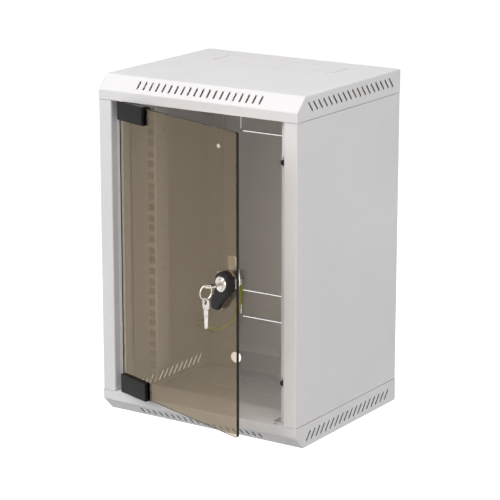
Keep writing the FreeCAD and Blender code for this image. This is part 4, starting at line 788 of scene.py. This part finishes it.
# ---- Lock cylinder, plug and nut ----
# Zinc and brass, nickel plated and polished: the cylinder with a raised rim round its face, the
# plug with the key's slot, and the hexagon nut that clamps the lock on the pane.
nickel, nickel_shader, nickel_tree = surface("nickel_plate", (0.62, 0.60, 0.56), 0.18, metallic=1.0)
nickel_tree.links.new(tinted(nickel_tree, clouds(nickel_tree, 150, 3), (0.46, 0.43, 0.38),
                             (0.66, 0.64, 0.60)), nickel_shader.inputs["Base Color"])
nickel_tree.links.new(between(nickel_tree, clouds(nickel_tree, 350, 5), 0.12, 0.30),
                      nickel_shader.inputs["Roughness"])
relief(nickel_tree, nickel_shader, clouds(nickel_tree, 500, 2, (1, 1, 9)), 0.00001)
PLUG_EDGE = 0.0002
LOCK_NUT_FLATS = 0.022
LOCK_NUT_THICKNESS = 0.0046
LOCK_NUT_SEAT = 0.004
CYLINDER_PROFILE = [
    (0, 0.0065), (0.0043, 0.0065), (0.0043, -0.0072), (0.0065, -0.0072), (0.0065, -0.0124),
    (0.0068, -0.0127), (0.0073, -0.0127), (0.0076, -0.0123), (0.0085, -0.0123), (0.0088, -0.0127),
    (0.0094, -0.0127), (0.0098, -0.0125), (0.0100, -0.0121), (0.0100, -0.0060), (0.0060, -0.0060),
    (0.0060, 0.01125), (0.0040, 0.01125), (0.0040, 0.0132), (0.0038, 0.0134), (0.0020, 0.0134),
    (0.0020, 0.0077), (0, 0.0077),
]
cylinder = lathed("lock_barrel_turned", CYLINDER_PROFILE, nickel, "handle")
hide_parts("lock_barrel")
eased("key_plug", "key_plug_slotted", PLUG_EDGE, nickel, "plug")
lock_nut_shape = bmesh.new()
hexagon_nut(lock_nut_shape, LOCK_NUT_FLATS, LOCK_NUT_THICKNESS, SLEEVE, LOCK_NUT_SEAT)
bmesh.ops.recalc_face_normals(lock_nut_shape, faces=lock_nut_shape.faces)
bmesh.ops.transform(lock_nut_shape, matrix=lock_place, verts=lock_nut_shape.verts)
lock_nut = link("lock_nut_chamfered", finished_mesh("lock_nut_chamfered", lock_nut_shape), nickel,
                "door")
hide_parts("lock_nut")

# ---- Cam ----
# The latch of the lock, a flat arm stamped from 2 mm steel and zinc plated. One screw holds it on
# the end of the cylinder, and it goes behind the door stop when the handle turns.
CAM_EDGE = 0.0003
eased("lock_cam", "lock_cam_stamped", CAM_EDGE, zinc, "handle")

# ---- Keys ----
# Two cut keys of nickel-plated brass: an oblong bow with one hole, a groove milled along each side
# of the blade, and notches filed in one edge of it. One is in the lock, the other on the ring.
# Distance along the blade and depth of each notch, in millimetres.
KEY_NOTCHES = ((15.0, 0.0), (16.2, 0.9), (17.4, 0.9), (18.6, 0.2), (19.8, 1.3), (21.0, 1.3), (22.2, 0.4),
               (23.4, 0.7), (24.6, 0.7), (25.8, 0.1), (27.0, 1.1), (28.2, 1.1), (29.4, 0.2))
GROOVE_START = 0.0085
GROOVE_END = 0.0300
GROOVE_HALF = 0.0008
GROOVE_SLOPE = 0.00025
GROOVE_DEPTH = 0.0005
NOTCHED_SIDE = 0.0015
KEY_EDGE = 0.00015
KEY_SHARP_EDGE = 60
BOW_REACH = 0.0271
RING_IN_KEY = (0, -0.03455, -0.0071)
SPARE_DROP = 0.0150
key_place = lock_place @ Matrix.Translation((0, -BOW_REACH, 0))
ring_place = lock_place @ Matrix.Translation(RING_IN_KEY)
spare_place = (ring_place @ Matrix.Translation((0, 0, -SPARE_DROP)) @ Matrix.Rotation(math.pi, 4, "Y")
               @ Matrix.Rotation(math.pi / 2, 4, "X"))


def cut_key(name, new_name, at, body):
    """A key blank with its grooves milled and its edge notched."""
    shape = merged(name)
    bmesh.ops.transform(shape, matrix=at.inverted(), verts=shape.verts)
    bmesh.ops.dissolve_limit(shape, angle_limit=ONE_PLANE, verts=shape.verts, edges=shape.edges)
    cuts = [((0, notch[0] / 1000, 0), (0, 1, 0)) for notch in KEY_NOTCHES]
    cuts += [((0, GROOVE_START, 0), (0, 1, 0)), ((0, GROOVE_END, 0), (0, 1, 0)),
             ((-GROOVE_HALF, 0, 0), (1, 0, 0)), ((GROOVE_HALF, 0, 0), (1, 0, 0))]
    for middle, across in cuts:
        whole = list(shape.verts) + list(shape.edges) + list(shape.faces)
        bmesh.ops.bisect_plane(shape, geom=whole, dist=1e-7, plane_co=middle, plane_no=across)
    for along, depth in KEY_NOTCHES:
        for vert in shape.verts:
            if abs(vert.co.y - along / 1000) < 1e-6 and vert.co.x > NOTCHED_SIDE:
                vert.co.x -= depth / 1000
    shape.normal_update()
    for side in (1, -1):
        strip = [face for face in shape.faces if face.normal.z * side > 0.9
                 and abs(face.calc_center_median().x) < GROOVE_HALF
                 and GROOVE_START < face.calc_center_median().y < GROOVE_END]
        bmesh.ops.inset_region(shape, faces=strip, thickness=GROOVE_SLOPE, depth=-GROOVE_DEPTH,
                               use_even_offset=True)
    soften_edges(shape, KEY_EDGE, KEY_SHARP_EDGE)
    bmesh.ops.transform(shape, matrix=at, verts=shape.verts)
    piece = link(new_name, finished_mesh(new_name, shape), nickel, body)
    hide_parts(name)


cut_key("key", "key_cut", key_place, "plug")
cut_key("spare_key", "spare_key_cut", spare_place, "spare")

# ---- Key ring ----
# A split ring of flat spring wire, wound twice round and nickel plated, with its two turns lying
# on each other. It joins the bows of the two keys.
RING_RADIUS = 0.0091
RING_WIRE = 0.00065
RING_STEPS = 96
split_ring = bmesh.new()
ring_section = bmesh.ops.create_circle(split_ring, segments=12, radius=RING_WIRE)["verts"]
bmesh.ops.scale(split_ring, vec=(1, 0.5, 1), verts=ring_section)
bmesh.ops.translate(split_ring, vec=(RING_RADIUS, -RING_WIRE / 2, 0), verts=ring_section)
bmesh.ops.rotate(split_ring, matrix=Matrix.Rotation(math.pi / 2, 3, "X"), verts=ring_section)
wound = bmesh.ops.spin(split_ring, geom=list(ring_section) + ring_edges(ring_section), cent=(0, 0, 0),
                       axis=(0, 0, 1), dvec=(0, 0, RING_WIRE / RING_STEPS), angle=4 * math.pi,
                       steps=RING_STEPS, use_merge=False)
ring_end = [item for item in wound["geom_last"] if isinstance(item, bmesh.types.BMVert)]
bmesh.ops.contextual_create(split_ring, geom=ring_edges(ring_section))
bmesh.ops.contextual_create(split_ring, geom=ring_edges(ring_end))
bmesh.ops.recalc_face_normals(split_ring, faces=split_ring.faces)
bmesh.ops.rotate(split_ring, matrix=Matrix.Rotation(math.pi / 2, 3, "Y"), verts=split_ring.verts)
bmesh.ops.transform(split_ring, matrix=ring_place, verts=split_ring.verts)
key_ring = link("key_ring_split", finished_mesh("key_ring_split", split_ring), nickel, "ring")
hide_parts("key_ring")
